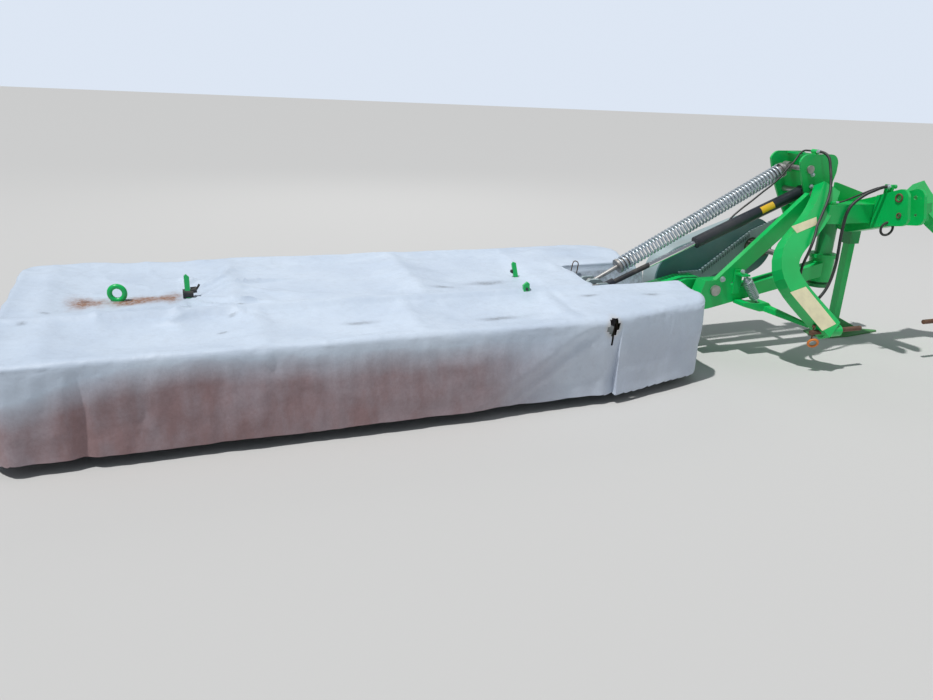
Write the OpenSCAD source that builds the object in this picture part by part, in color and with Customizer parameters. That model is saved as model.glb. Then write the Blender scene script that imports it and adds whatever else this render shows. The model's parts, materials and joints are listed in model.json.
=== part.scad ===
// Side-mounted disc mower as it stands parked, millimetres.
// Machine sizes run from the cover's outer face (x 0), the cover's front face (y 0) and the floor (z 0).

/* [Cover] */
// Length of the cover along the bar
coverLength = 3410; // [3200:5:3600]
// Depth of the cover, front to rear
coverDepth = 1300; // [1240:5:1380]
// Height of the cover at the front guard's hinge line
coverHeight = 500; // [480:2:530]
// Distance of the front guard's hinge line from the front face
guardLine = 470; // [455:1:480]
// Wall of the cover
coverWall = 5; // [3:0.5:8]
// Height of the skirt's lower edge over the floor
skirtBottom = 45; // [30:1:70]
// Sag of the rear sheet midway between two ribs
rearSag = 22; // [10:1:30]
// Sag of the front sheet midway between two bows
frontSag = 15; // [6:1:20]

/* [Cutter bar] */
// Number of discs
discCount = 8; // [8:1:8]
// Reach of a blade, as a share of the distance between discs
bladeShare = 0.6075; // [0.57:0.005:0.615]
// Radius of a disc, as a share of the distance between discs
discShare = 0.375; // [0.34:0.005:0.39]
// Depth of the cutter bar's housing
barDepth = 220; // [190:2:240]
// Height of the housing's top over the floor
barTop = 92; // [85:1:100]

/* [Headstock] */
// Distance from the cover's inner end to the hitch's middle
hitchOffset = 1295; // [1280:5:1310]
// Distance between the middles of the two legs' lower ends
legSpan = 970; // [960:2:990]
// Face width of a leg
legFace = 124; // [110:1:135]
// Depth of a leg
legDepth = 80; // [70:1:90]
// Lean of the legs to the rear, in degrees
legLean = 25; // [22:0.5:27]
// Diameter of the lower link pins
lowerPinDia = 28; // [25:1:36]
// Length of a lower link pin
lowerPinLength = 370; // [340:5:400]
// Height of the lower link pins
lowerPinHeight = 245; // [235:1:265]
// Diameter of the top link hole
topHoleDia = 25.5; // [25:0.5:32]
// Height of the tower's top
towerHeight = 1192; // [1180:2:1230]

/* [Lift] */
// Diameter of the cylinder's barrel
barrelDia = 70; // [60:1:72]
// Diameter of the cylinder's rod
rodDia = 30; // [25:1:35]
// Length of the barrel from its top pin
barrelLength = 790; // [780:5:800]
// Outer diameter of the balance spring
springDia = 93; // [84:1:94]
// Wire of the balance spring
springWire = 11; // [9:0.5:13]
// Turns of the balance spring
springTurns = 50; // [30:1:56]

/* [Hidden] */
$fn = 48;
discRow = 300;
discY = 500;
barClear = 120;
barEndLength = 190;
discPitch = (coverLength - barClear - barEndLength - discRow) / (discCount - 1);
bladeReach = bladeShare * discPitch;
discRadius = discShare * discPitch;
hingeX = coverLength + 290;
hingeZ = 410;
hingePinR = 20;
clear = 0.06;
weld = 0.2;
hitchMid = coverLength + hitchOffset;
columnX = hingeX + 860;
columnY = 600;
columnR = 52;
collarR = 80;
topPin = [hingeX + 650, 965];
topPinR = 17.5;
eyePin = [hingeX - 715, 420];
springTop = [hingeX + 590, 1105];
springPinR = 15;
springEye = [hingeX - 715, 440];
cylinderY = 655;
springY = 745;
liftStroke = 600;
shiftY = -coverDepth / 2;
doorGap = 9;
frontTop = coverHeight - 38;
rearTop = coverHeight + 50;
slotX = coverLength - 550;
slotRear = 860;

function arc(cx, cy, r, a, b, n) = [for (i = [0:n]) [cx + r * cos(a + (b - a) * i / n), cy + r * sin(a + (b - a) * i / n)]];
function bend(a, b, c, d, n) = [for (i = [0:n]) let (t = i / n, u = 1 - t)
  u * u * u * a + 3 * u * u * t * b + 3 * u * t * t * c + t * t * t * d];
function lineAngle(p, q) = atan2(q[1] - p[1], q[0] - p[0]);
function lineLength(p, q) = sqrt((q[0] - p[0]) * (q[0] - p[0]) + (q[1] - p[1]) * (q[1] - p[1]));

// From the machine's sizes to the stored frame
module place() {
  translate([shiftX, shiftY, 0]) children();
}

module box(x0, y0, z0, x1, y1, z1) {
  translate([x0, y0, z0]) cube([x1 - x0, y1 - y0, z1 - z0]);
}

// A round bar along y
module barY(x, z, r, y0, y1) {
  translate([x, y0, z]) rotate([-90, 0, 0]) cylinder(r = r, h = y1 - y0);
}

// A round bar along x
module barX(y, z, r, x0, x1) {
  translate([x0, y, z]) rotate([0, 90, 0]) cylinder(r = r, h = x1 - x0);
}

// A plate cut from an outline in x and z, standing between two y values
module plateY(points, y0, y1) {
  translate([0, y1, 0]) rotate([90, 0, 0]) linear_extrude(height = y1 - y0) polygon(points);
}

// A plate cut from an outline in y and z, standing between two x values
module plateX(points, x0, x1) {
  translate([x0, 0, 0]) rotate([90, 0, 90]) linear_extrude(height = x1 - x0) polygon(points);
}

// Children drawn along +x are laid on the line from p to q in the plane y
module along(p, q, y) {
  translate([p[0], y, p[1]]) rotate([0, -lineAngle(p, q), 0]) children();
}

// A hose swept along its route
function unit(v) = v / norm(v);
function heading(p, i) = unit(p[min(i + 1, len(p) - 1)] - p[max(i - 1, 0)]);
function sideways(p, i, last) = i == len(p) ? [] : let (t = heading(p, i), u = unit(last - (last * t) * t)) concat([u], sideways(p, i + 1, u));

module hose(route, r) {
  n = 10;
  across = sideways(route, 0, [0.2, 0.3, 1]);
  points = [for (i = [0:len(route) - 1]) let (u = across[i], v = cross(heading(route, i), u))
    for (k = [0:n - 1]) route[i] + r * (cos(360 * k / n) * u + sin(360 * k / n) * v)];
  faces = concat([[for (k = [0:n - 1]) k]], [[for (k = [n - 1:-1:0]) (len(route) - 1) * n + k]],
    [for (i = [0:len(route) - 2]) for (k = [0:n - 1]) let (a = i * n + k, b = i * n + (k + 1) % n) each [[a, a + n, b + n], [a, b + n, b]]]);
  polyhedron(points = points, faces = faces);
}

function fromHitch(points) = [for (p = points) [hitchMid + p[0], p[1], p[2]]];

// Routes of the hoses: across from the hitch's middle, depth and height
crownRoute = fromHitch([
  [-357, 584, 1206], [-357, 556, 1206], [-354, 528, 1200], [-350, 504, 1184], [-351, 486, 1160],
  [-355, 470, 1128], [-363, 448, 1088], [-373, 428, 1048], [-389, 406, 1008], [-407, 390, 970],
  [-431, 374, 930], [-459, 358, 892], [-487, 344, 852], [-515, 328, 816], [-541, 304, 780],
  [-567, 284, 742], [-585, 276, 704], [-595, 278, 664], [-599, 288, 624], [-597, 300, 584],
  [-589, 310, 546], [-579, 322, 510], [-575, 332, 476], [-579, 334, 446], [-589, 324, 420],
  [-601, 302, 405], [-607, 280, 402], [-607, 262, 402]]);
dropRoute = fromHitch([
  [-65, 296, 1036], [-91, 296, 1036], [-119, 302, 1029], [-151, 314, 1013], [-185, 328, 994],
  [-217, 338, 970], [-249, 345, 942], [-273, 349, 912], [-287, 350, 878], [-293, 350, 840],
  [-296, 350, 800], [-297, 350, 760], [-296, 350, 720], [-294, 350, 680], [-292, 350, 640],
  [-291, 350, 600], [-293, 350, 560], [-298, 350, 520], [-307, 350, 480], [-321, 350, 440],
  [-343, 350, 402], [-371, 350, 370], [-401, 347, 342], [-433, 338, 320], [-463, 320, 304],
  [-489, 294, 298], [-505, 262, 297], [-509, 236, 297], [-509, 214, 297]]);
armRoute = fromHitch([
  [-361, 378, 938], [-339, 378, 938], [-311, 378, 942], [-283, 378, 949], [-255, 376, 959],
  [-227, 370, 971], [-199, 361, 985], [-171, 351, 999], [-143, 341, 1012], [-115, 330, 1024],
  [-89, 324, 1030], [-65, 324, 1030]]);
crownHoseR = 8;
dropHoseR = 9;
armHoseR = 5;
fittingR = 12;
fittingGap = 0.3;
crownRise = 14;
armEnd = armRoute[len(armRoute) - 1];
crownX = crownRoute[0][0];

module hose_crown() {
  color([0.1, 0.1, 0.1]) place() hose(crownRoute, crownHoseR);
}

module hose_drop() {
  color([0.1, 0.1, 0.1]) place() hose(dropRoute, dropHoseR);
}

module hose_arm() {
  color([0.1, 0.1, 0.1]) place() hose(armRoute, armHoseR);
}

// Arm, cross tube and head plate over the legs
armHalf = 53;
armFront = 250;
armTop = 1015;
armRear = 720;
armSlope = 0.343;
tubeLow = 815;
tubeTop = 925;
tubeHalf = 405;
crestFrom = tubeTop - 1;
headLow = 876;
headTop = 900;

// Middle line of a leg: across from the hitch's middle, and height along the leg
legFoot = [-legSpan / 2, lowerPinHeight];
legElbow = [-739, 610];
legHead = [-345, 1084];
legLine = concat(bend(legFoot, [-600, 385], [-745, 520], legElbow, 8),
  [for (i = [1:10]) bend(legElbow, [-735, 790], [-490, 800], legHead, 10)[i]]);

function legDir(i) =
  let (a = legLine[max(0, i - 1)], b = legLine[min(len(legLine) - 1, i + 1)])
  lineAngle(a, b);
function legEdge(i, side) = legLine[i] + legFace / 2 * [cos(legDir(i) + side * 90), sin(legDir(i) + side * 90)];
legOutline = concat([for (i = [0:len(legLine) - 1]) legEdge(i, 1)], [for (i = [len(legLine) - 1:-1:0]) legEdge(i, -1)]);
farEdge = hitchMid - min([for (p = legOutline) p[0]]);
shiftX = -farEdge / 2;
leanPoint = [120, lowerPinHeight];

// Puts a flat leg, drawn standing, into its leaning plane
module lean() {
  translate([hitchMid, leanPoint[0], leanPoint[1]]) rotate([-legLean, 0, 0]) translate([0, 0, -leanPoint[1]])
    children();
}

function leanY(z) = leanPoint[0] + (z - leanPoint[1]) * tan(legLean);

module crossTube(gap) {
  box(hitchMid - tubeHalf - gap, leanY(tubeTop) - 72 - gap, tubeLow - gap, hitchMid + tubeHalf + gap, leanY(tubeTop) + 53 + gap,
    tubeTop + gap);
}

module legShape(side) {
  lean() scale([-side, 1, 1]) plateY(legOutline, -legDepth / 2, legDepth / 2);
}

legBoss = 64;

module leg(side) {
  x = hitchMid + side * legSpan / 2;
  difference() {
    union() {
      legShape(side);
      barX(leanPoint[0], lowerPinHeight, 34, x - legBoss, x + legBoss);
      if (side < 0) for (route = [crownRoute, dropRoute])
        let (end = route[len(route) - 1]) barY(end[0], end[2], fittingR, leanY(end[2]), end[1] - fittingGap);
    }
    barX(leanPoint[0], lowerPinHeight, lowerPinDia / 2 + 1 + clear, x - 2 * legBoss, x + 2 * legBoss);
    crossTube(weld);
    translate([hitchMid - legSpan, 0, crestFrom - weld]) cube([2 * legSpan, 900, 400]);
  }
}

module near_leg() {
  color([0.05, 0.72, 0.3]) place() leg(-1);
}

module far_leg() {
  color([0.05, 0.72, 0.3]) place() leg(1);
}

pinShift = 45;
pinCollar = 14;

// Lower link pin with a thicker middle in the leg and a collar on its inner side
module lowerPin(side) {
  x = hitchMid + side * legSpan / 2;
  middle = x - side * pinShift;
  collar = x - side * (legBoss + pinCollar / 2);
  difference() {
    union() {
      barX(leanPoint[0], lowerPinHeight, lowerPinDia / 2, middle - lowerPinLength / 2, middle + lowerPinLength / 2);
      barX(leanPoint[0], lowerPinHeight, lowerPinDia / 2 + 1, x - legBoss, x + legBoss);
      barX(leanPoint[0], lowerPinHeight, 24, collar - pinCollar / 2, collar + pinCollar / 2);
    }
    for (e = [-1, 1])
      translate([middle + e * (lowerPinLength / 2 - 16), leanPoint[0], lowerPinHeight - 40]) cylinder(r = 5.5, h = 80);
  }
}

module near_link_pin() {
  color([0.42, 0.27, 0.18]) place() lowerPin(-1);
}

module far_link_pin() {
  color([0.42, 0.27, 0.18]) place() lowerPin(1);
}

// Fixed column of the breakaway pivot
module pivot_column() {
  color([0.04, 0.55, 0.25]) place() union() {
    translate([columnX, columnY, 375]) cylinder(r = columnR, h = headLow - weld - 375);
    translate([columnX, columnY, 375]) cylinder(r = 72, h = 22);
  }
}

function armLine(y) = armTop + (armFront - y) * armSlope;

// Cross tube, forward arm, head plate and gussets over the two legs
module top_frame() {
  color([0.05, 0.72, 0.3]) place() union() {
    crossTube(0);
    plateX([[armFront, 815], [540, 727], [680, 742], [armRear, 775], [armRear, armLine(armRear)], [armFront, armLine(armFront)]],
      hitchMid - armHalf, hitchMid + armHalf);
    box(columnX - 60, leanY(tubeTop), headLow, hitchMid, columnY + 80, headTop);
    plateY([[columnX - 73, headLow + 2], [columnX - 73, 1031], [columnX - 60, 1031], [hitchMid + 14, 969], [hitchMid + 14, headLow + 2]], 540, 552);
    for (side = [-1, 1])
      intersection() {
        legShape(side);
        translate([hitchMid - legSpan, 0, crestFrom]) cube([2 * legSpan, 900, 400]);
      }
    box(hitchMid - armHalf, 284, armLine(340) - 10, hitchMid - armHalf + 16, 336, 1046);
    barX(dropRoute[0][1], dropRoute[0][2], fittingR, dropRoute[0][0] + fittingGap, hitchMid - armHalf + 40);
    barX(armEnd[1], armEnd[2], armHoseR + 4, armEnd[0] + fittingGap, hitchMid - armHalf + 24);
    barX(armRoute[0][1], armRoute[0][2], armHoseR + 3, armRoute[0][0] - 30, armRoute[0][0] - fittingGap);
    box(armRoute[0][0] - 26, armRoute[0][1] - 4, tubeTop - 1, armRoute[0][0] - 8, armRoute[0][1] + 4, armRoute[0][2]);
  }
}

clevisPlate = 20;
topHoleY = 205;
topHoleZ = 985;
lowHoleY = 182;
lowHoleZ = 888;
clevisHeadR = 50;
clevisFootR = 46;

// The two plates that take the top link
module top_link_clevis() {
  color([0.05, 0.72, 0.3]) place() difference() {
    for (s = [-1, 1])
      plateX(concat(arc(lowHoleY - 14, lowHoleZ - 12, clevisFootR, 180, 260, 6), [[armFront, 818], [360, 785], [360, armLine(360)]],
        arc(topHoleY - 8, topHoleZ, clevisHeadR, 75, 180, 8)),
        hitchMid + s * (armHalf + weld + clevisPlate / 2) - clevisPlate / 2, hitchMid + s * (armHalf + weld + clevisPlate / 2) + clevisPlate / 2);
    barX(topHoleY, topHoleZ, topHoleDia / 2, hitchMid - 200, hitchMid + 200);
    barX(lowHoleY, lowHoleZ, 9, hitchMid - 200, hitchMid + 200);
  }
}

standX = hitchMid + 165;
standY = 700;
standHalf = 25;

// Bracket and sleeve of the parking leg, welded to the arm's side
module stand_sleeve() {
  color([0.05, 0.6, 0.27]) place() difference() {
    union() {
      box(standX - 40, standY - 40, 620, standX + 40, standY + 40, 845);
      box(hitchMid + armHalf + weld, standY - 25, 775, standX - 38, armRear - 2, 845);
    }
    box(standX - standHalf - 0.4, standY - standHalf - 0.4, 500, standX + standHalf + 0.4, standY + standHalf + 0.4, 900);
  }
}

// Square post on a long pointed foot
module parking_leg() {
  color([0.04, 0.5, 0.24]) place() union() {
    box(standX - standHalf, standY - standHalf, 8, standX + standHalf, standY + standHalf, 880);
    translate([standX, standY, 0]) linear_extrude(height = 9)
      polygon([[-170, 70], [-200, -20], [-120, -100], [40, -110], [340, -70], [350, -55], [110, 95], [-60, 100]]);
    plateY([[standX + standHalf - 1, 8], [standX + 250, 8], [standX + standHalf - 1, 115]], standY - 4, standY + 4);
    barY(standX, 862, 9, standY - 60, standY + 60);
  }
}

// Lower arm and upper stub, grown by a gap where another piece is cut around them
module armShape(gap) {
  plateY([[hingeX - 108, 290 - gap], [hingeX - 20, 300 - gap], [columnX - 60, 452 - gap], [columnX - 60, 540 + gap], [hingeX + 150, 412 + gap],
    [hingeX + 70, 470 + gap], [hingeX - 70, 470 + gap], [hingeX - 100, 385]], 525 - gap, 612 + gap);
  box(columnX - 190 - gap, 560 - gap, 785 - gap, columnX - 60, 640 + gap, 865 + gap);
}

// Collars and lower arm that swing on the column
module swing_arm() {
  color([0.05, 0.72, 0.3]) place() difference() {
    union() {
      translate([columnX, columnY, 412]) cylinder(r = collarR - 6, h = 150);
      translate([columnX, columnY, 562]) cylinder(r = collarR + 4, h = 22);
      translate([columnX, columnY, 780]) cylinder(r = collarR, h = 90);
      armShape(0);
    }
    translate([columnX, columnY, 300]) cylinder(r = columnR + 0.5, h = 700);
    barY(hingeX, hingeZ, hingePinR, 400, 900);
  }
}

towerBase = 785;
towerOutline = concat([[columnX - 74, towerBase], [columnX - 74, 1035], [columnX - 60, 1087]],
  arc(columnX - 120, towerHeight - 60, 60, 10, 90, 5), arc(columnX - 292, towerHeight - 60, 60, 90, 165, 5),
  [[columnX - 311, 1041], [columnX - 274, 970], [columnX - 222, 880], [columnX - 160, towerBase]]);
towerFront = 562;
towerRear = 806;
towerPlate = 14;

// Two upright plates that hold the cylinder and the spring
module tower() {
  color([0.05, 0.72, 0.3]) place() difference() {
    union() {
      plateY(towerOutline, towerFront, towerFront + towerPlate);
      plateY(towerOutline, towerRear, towerRear + towerPlate);
      box(columnX - 150, towerFront + 4, towerBase + 5, columnX - 134, towerRear + 4, 865);
      box(columnX - 100, towerFront + 4, 1060, columnX - 84, towerRear + 4, 1150);
      box(crownX - 20, towerFront + 2, towerHeight - 12, crownX + 20, towerRear + 2, towerHeight - 1);
      barY(crownX, towerHeight + crownRise, fittingR, crownRoute[0][1] + fittingGap, crownRoute[0][1] + 44);
      box(crownX - 8, crownRoute[0][1] + 6, towerHeight - 4, crownX + 8, crownRoute[0][1] + 38, towerHeight + crownRise);
    }
    armShape(weld);
    translate([columnX, columnY, towerBase]) cylinder(r = collarR + weld, h = 90);
    barY(topPin[0], topPin[1], topPinR, 500, 900);
    barY(springTop[0], springTop[1], springPinR, 500, 900);
  }
}

module tower_pins() {
  color([0.6, 0.6, 0.58]) place() union() {
    barY(topPin[0], topPin[1], topPinR, 548, 832);
    barY(topPin[0], topPin[1], 27, 548, towerFront);
    barY(springTop[0], springTop[1], springPinR, 550, 830);
    barY(springTop[0], springTop[1], 24, 550, towerFront);
  }
}

braceDepth = 34;

// Box section from the tower down to the lift hinge
module diagonal_brace() {
  color([0.05, 0.72, 0.3]) place() difference() {
    plateY([[hingeX - 20, 450], [hingeX + 96, 430], [columnX - 222, 872], [columnX - 274, 970]], towerFront - braceDepth, towerFront - weld);
    armShape(weld);
    barY(topPin[0], topPin[1], 30, 500, 600);
  }
}

// Rear arm of the lift hinge
module rear_arm() {
  color([0.05, 0.6, 0.27]) place() difference() {
    plateY([[hingeX - 55, 455], [hingeX - 55, 365], [hingeX + 5, 352], [hingeX + 417, 500], [hingeX + 556, 600], [columnX - 74, 720],
      [columnX - 74, towerBase - weld], [columnX - 190, towerBase - weld], [hingeX + 450, 700], [hingeX + 100, 460]],
      towerRear, towerRear + towerPlate);
    barY(hingeX, hingeZ, hingePinR, 700, 900);
    barY(drivePulley[0], drivePulley[1], bearingFlange + weld, 700, 900);
  }
}

module lift_pin() {
  color([0.55, 0.55, 0.53]) place() union() {
    barY(hingeX, hingeZ, hingePinR, 512, 831);
    barY(hingeX, hingeZ, 32, 509, 525);
  }
}

bearingFlange = 57;
bearingR = 44.7;
shaftR = 20;
inputR = 17.5;
inputEnd = 590;
inputLength = 100;
drivePulley = [hingeX + 470, 600];
guardSmall = 165;
guardLarge = 200;
guardWall = 4;
plateThick = 13.7;
beltDepth = 145.7;
plateFront = towerRear + towerPlate + 0.3;
housingFront = plateFront + plateThick + 0.3;
housingRear = housingFront + beltDepth;
shaftHole = 45;
hubHole = 48;

function stadium(grow) = let (a = lineAngle([hingeX, hingeZ], drivePulley), l = lineLength([hingeX, hingeZ], drivePulley),
  r1 = guardLarge + grow, r2 = guardSmall + grow, d = acos((r1 - r2) / l))
  concat(arc(hingeX, hingeZ, r1, a + d, a + 360 - d, 36), arc(drivePulley[0], drivePulley[1], r2, a - d, a + d, 20));

// Housing of the belt drive
module belt_guard() {
  color([0.55, 0.6, 0.6]) place() difference() {
    plateY(stadium(0), housingFront, housingRear);
    plateY(stadium(-guardWall), housingFront + guardWall, housingRear - guardWall);
    barY(drivePulley[0], drivePulley[1], shaftHole, towerRear, housingFront + 2 * guardWall);
    barY(hingeX, hingeZ, hubHole, towerRear, housingFront + 2 * guardWall);
  }
}

// Darker front plate of the belt housing
module guard_plate() {
  color([0.25, 0.38, 0.38]) place() difference() {
    plateY(stadium(12), plateFront, plateFront + plateThick);
    barY(drivePulley[0], drivePulley[1], shaftHole, towerRear, housingFront + guardWall);
    barY(hingeX, hingeZ, hubHole, towerRear, housingFront + guardWall);
  }
}

module drive_bearing() {
  color([0.3, 0.3, 0.3]) place() difference() {
    union() {
      barY(drivePulley[0], drivePulley[1], bearingR, 700, 834);
      barY(drivePulley[0], drivePulley[1], bearingFlange, 808, 820);
    }
    barY(drivePulley[0], drivePulley[1], shaftR + clear, 600, 900);
  }
}

module drive_shaft() {
  color([0.6, 0.6, 0.6]) place() union() {
    barY(drivePulley[0], drivePulley[1], inputR, inputEnd, inputEnd + inputLength + 5);
    barY(drivePulley[0], drivePulley[1], shaftR, inputEnd + inputLength, 940);
    barY(drivePulley[0], drivePulley[1], 110, 880, 940);
  }
}

// Breakaway latch: a sprung link from the arm to the near leg's lower end
latchFoot = [hingeX + 283, 331];
latchHead = [hingeX + 152, 511];
latchY = 470;
latchRodR = 7;
latchSeat = [hingeX + 330, 470, 302];
linkTo = [hitchMid - legSpan / 2 - 96, 196, 262];

module latch_link() {
  color([0.05, 0.66, 0.28]) place() difference() {
    union() {
      plateY([[hingeX + 150, 325], [hingeX + 280, 285], [hingeX + 350, 285], [hingeX + 360, 318], [hingeX + 340, 335], [hingeX + 240, 335],
        [hingeX + 200, 345], [hingeX + 150, 345]], 436, 525 - weld);
      hull() {
        translate(latchSeat) cube([50, 60, 32], center = true);
        translate(linkTo) cube([24, 30, 18], center = true);
      }
      box(latchHead[0] - 26, 513, 385, latchHead[0] + 26, 525 - weld, latchHead[1] + 20);
      box(latchHead[0] - 26, 446, latchHead[1] - 8, latchHead[0] + 26, 514, latchHead[1] + 2);
    }
    along(latchFoot, latchHead, latchY) rotate([0, 90, 0]) cylinder(r = latchRodR + weld, h = 300);
  }
}

module coil(r, wire, turns, height, perTurn) {
  steps = turns * perTurn;
  ring = [for (k = [0:5]) [r + wire / 2 * cos(60 * k), wire / 2 * sin(60 * k)]];
  pts = [for (i = [0:steps]) for (q = ring) [q[0] * cos(360 * i / perTurn), q[0] * sin(360 * i / perTurn),
    q[1] + wire / 2 + i * (height - wire) / steps]];
  faces = concat(
    [for (i = [0:steps - 1]) for (k = [0:5]) [i * 6 + k, i * 6 + (k + 1) % 6, (i + 1) * 6 + (k + 1) % 6, (i + 1) * 6 + k]],
    [[for (k = [5:-1:0]) k]], [[for (k = [0:5]) steps * 6 + k]]);
  polyhedron(points = pts, faces = faces);
}

module latch_spring() {
  color([0.6, 0.62, 0.62]) place() along(latchFoot, latchHead, latchY) rotate([0, 90, 0]) union() {
    translate([0, 0, 1]) cylinder(r = latchRodR, h = 256);
    translate([0, 0, 34]) coil(28, 8, 10, 150, coilSteps);
    translate([0, 0, 36]) cylinder(r = 25, h = 7);
    translate([0, 0, 176]) cylinder(r = 25, h = 7);
    translate([0, 0, 238]) cylinder(r = 12, h = 14, $fn = 6);
  }
}

// Barrel of the lift cylinder
module lift_barrel() {
  color([0.07, 0.08, 0.1]) place() along(topPin, eyePin, cylinderY) difference() {
    union() {
      translate([30, 0, 0]) rotate([0, 90, 0]) cylinder(r = barrelDia / 2, h = barrelLength - 30);
      translate([0, 24, 0]) rotate([90, 0, 0]) cylinder(r = 34, h = 48);
    }
    translate([40, 0, 0]) rotate([0, 90, 0]) cylinder(r = barrelDia / 2 - 7, h = barrelLength - 60);
    translate([60, 0, 0]) rotate([0, 90, 0]) cylinder(r = rodDia / 2 + clear, h = barrelLength);
    translate([0, 50, 0]) rotate([90, 0, 0]) cylinder(r = topPinR + clear, h = 100);
  }
}

pistonDepth = 30;
rodCollar = 106;
rodLength = lineLength(eyePin, topPin) - liftStroke - 50;

module lift_rod() {
  color([0.75, 0.76, 0.78]) place() along(eyePin, topPin, cylinderY) union() {
    translate([26.3, 0, 0]) rotate([0, 90, 0]) cylinder(r = rodDia / 2, h = rodLength - 26.3);
    translate([rodLength - pistonDepth, 0, 0]) rotate([0, 90, 0]) cylinder(r = barrelDia / 2 - 8, h = pistonDepth);
  }
}

module rod_eye() {
  color([0.15, 0.15, 0.16]) place() along(eyePin, topPin, cylinderY) difference() {
    union() {
      translate([0, 27, 0]) rotate([90, 0, 0]) cylinder(r = 32, h = 54);
      rotate([0, 90, 0]) cylinder(r = 25, h = rodCollar);
      translate([0, 36, 0]) rotate([90, 0, 0]) cylinder(r = 14, h = 72);
    }
    translate([26, 0, 0]) rotate([0, 90, 0]) cylinder(r = rodDia / 2 + clear, h = 130);
  }
}

springLine = lineLength(springEye, springTop);
coilStart = 60;
coilEnd = springLine - 205;
coilSteps = 10;
plugR = (springDia / 2 - springWire) * cos(180 / coilSteps) - 0.5;
plugDepth = 60;

// Head of the balance spring with the plug that the coil is screwed on
module spring_head() {
  color([0.65, 0.66, 0.68]) place() along(springTop, springEye, springY) difference() {
    union() {
      translate([0, 22, 0]) rotate([90, 0, 0]) cylinder(r = 30, h = 44);
      translate([14, 0, 0]) rotate([0, 90, 0]) cylinder(r = 24, h = coilStart - 14);
      translate([coilStart - 14, 0, 0]) rotate([0, 90, 0]) cylinder(r = springDia / 2 - 2, h = 13.8);
      translate([coilStart - 2, 0, 0]) rotate([0, 90, 0]) cylinder(r = plugR, h = plugDepth);
    }
    translate([0, 50, 0]) rotate([90, 0, 0]) cylinder(r = springPinR + clear, h = 100);
  }
}

module balance_spring() {
  color([0.68, 0.7, 0.72]) place() along(springTop, springEye, springY) translate([coilStart, 0, 0]) rotate([0, 90, 0])
    coil(springDia / 2 - springWire / 2, springWire, springTurns, coilEnd - coilStart, coilSteps);
}

// Threaded rod, lower plug and eye of the balance spring
module spring_rod() {
  plug = springLine - coilEnd;
  color([0.6, 0.6, 0.6]) place() along(springEye, springTop, springY) union() {
    rotate([0, 90, 0]) cylinder(r = 13, h = plug);
    translate([plug - 14, 0, 0]) rotate([0, 90, 0]) cylinder(r = springDia / 2 - 2, h = 13.8);
    translate([plug - 2, 0, 0]) rotate([0, 90, 0]) cylinder(r = plugR, h = plugDepth);
    translate([0, 16, 0]) rotate([90, 0, 0]) cylinder(r = 24, h = 32);
    translate([0, 26, 0]) rotate([90, 0, 0]) cylinder(r = 12, h = 52);
  }
}

barStart = discRow - barEndLength;
barEnd = coverLength - barClear;

// Closed housing of the disc drive
module cutterbar() {
  color([0.3, 0.32, 0.3]) place() union() {
    plateX([[discY - barDepth / 2, 62], [discY - barDepth / 2 + 25, 40], [discY + barDepth / 2, 40], [discY + barDepth / 2, barTop - 8],
      [discY + barDepth / 2 - 12, barTop], [discY - barDepth / 2 + 20, barTop], [discY - barDepth / 2, barTop - 14]], barStart, barEnd);
    for (i = [0:discCount - 1])
      translate([discRow + i * discPitch, discY, barTop - 1]) cylinder(r = 62, h = 14.6);
  }
}

module skids() {
  color([0.35, 0.3, 0.25]) place() union() for (i = [0:discCount - 1])
    plateX([[discY - barDepth / 2 - 62, 70], [discY - barDepth / 2 - 40, 30], [discY - barDepth / 2 + 20, 0], [discY + 80, 0],
      [discY + 100, 8], [discY + 100, 40], [discY + 88, 40], [discY + 88, 12], [discY - barDepth / 2 + 24, 12],
      [discY - barDepth / 2 - 28, 38], [discY - barDepth / 2 - 50, 74]],
      discRow + i * discPitch - 130, discRow + i * discPitch + 130);
}

module outer_shoe() {
  color([0.05, 0.55, 0.25]) place() union() {
    plateX([[discY - 230, 30], [discY - 200, 0], [discY + 260, 0], [discY + 300, 40], [discY + 260, 190], [discY - 180, 150]],
      barStart - 76, barStart - 64);
    box(barStart - 66, discY - 90, 42, barStart - 0.3, discY + 90, 88);
  }
}

module inner_shoe() {
  color([0.05, 0.55, 0.25]) place() union() {
    plateX([[discY - 250, 40], [discY - 200, 0], [discY + 220, 0], [discY + 260, 60], [discY + 200, 170], [discY - 200, 150]],
      barEnd + 60, barEnd + 72);
    box(barEnd + 0.3, discY - 90, 42, barEnd + 61, discY + 90, 88);
  }
}

// A disc with its blades: wheel, guard cap and three blades
module discParts(i) {
  translate([discRow + i * discPitch, discY, barTop + 14]) union() {
    difference() {
      cylinder(r = discRadius, h = 7);
      for (k = [0:2])
        rotate([0, 0, 120 * k + 60]) translate([discRadius * 1.35, 0, -5]) cylinder(r = discRadius * 0.62, h = 20);
    }
    translate([0, 0, 6]) cylinder(r1 = 82, r2 = 58, h = (i == 0 || i == discCount - 1) ? 170 : 34);
    for (k = [0:2]) rotate([0, 0, 120 * k]) {
      translate([discRadius - 24, -23, -6]) cube([bladeReach - discRadius + 24, 46, 5]);
      translate([discRadius - 14, 0, -6.5]) cylinder(r = 11, h = 17);
    }
  }
}

module disc_1() { color([0.5, 0.4, 0.3]) place() discParts(0); }
module disc_2() { color([0.5, 0.4, 0.3]) place() discParts(1); }
module disc_3() { color([0.5, 0.4, 0.3]) place() discParts(2); }
module disc_4() { color([0.5, 0.4, 0.3]) place() discParts(3); }
module disc_5() { color([0.5, 0.4, 0.3]) place() discParts(4); }
module disc_6() { color([0.5, 0.4, 0.3]) place() discParts(5); }
module disc_7() { color([0.5, 0.4, 0.3]) place() discParts(6); }
module disc_8() { color([0.5, 0.4, 0.3]) place() discParts(7); }

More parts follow.
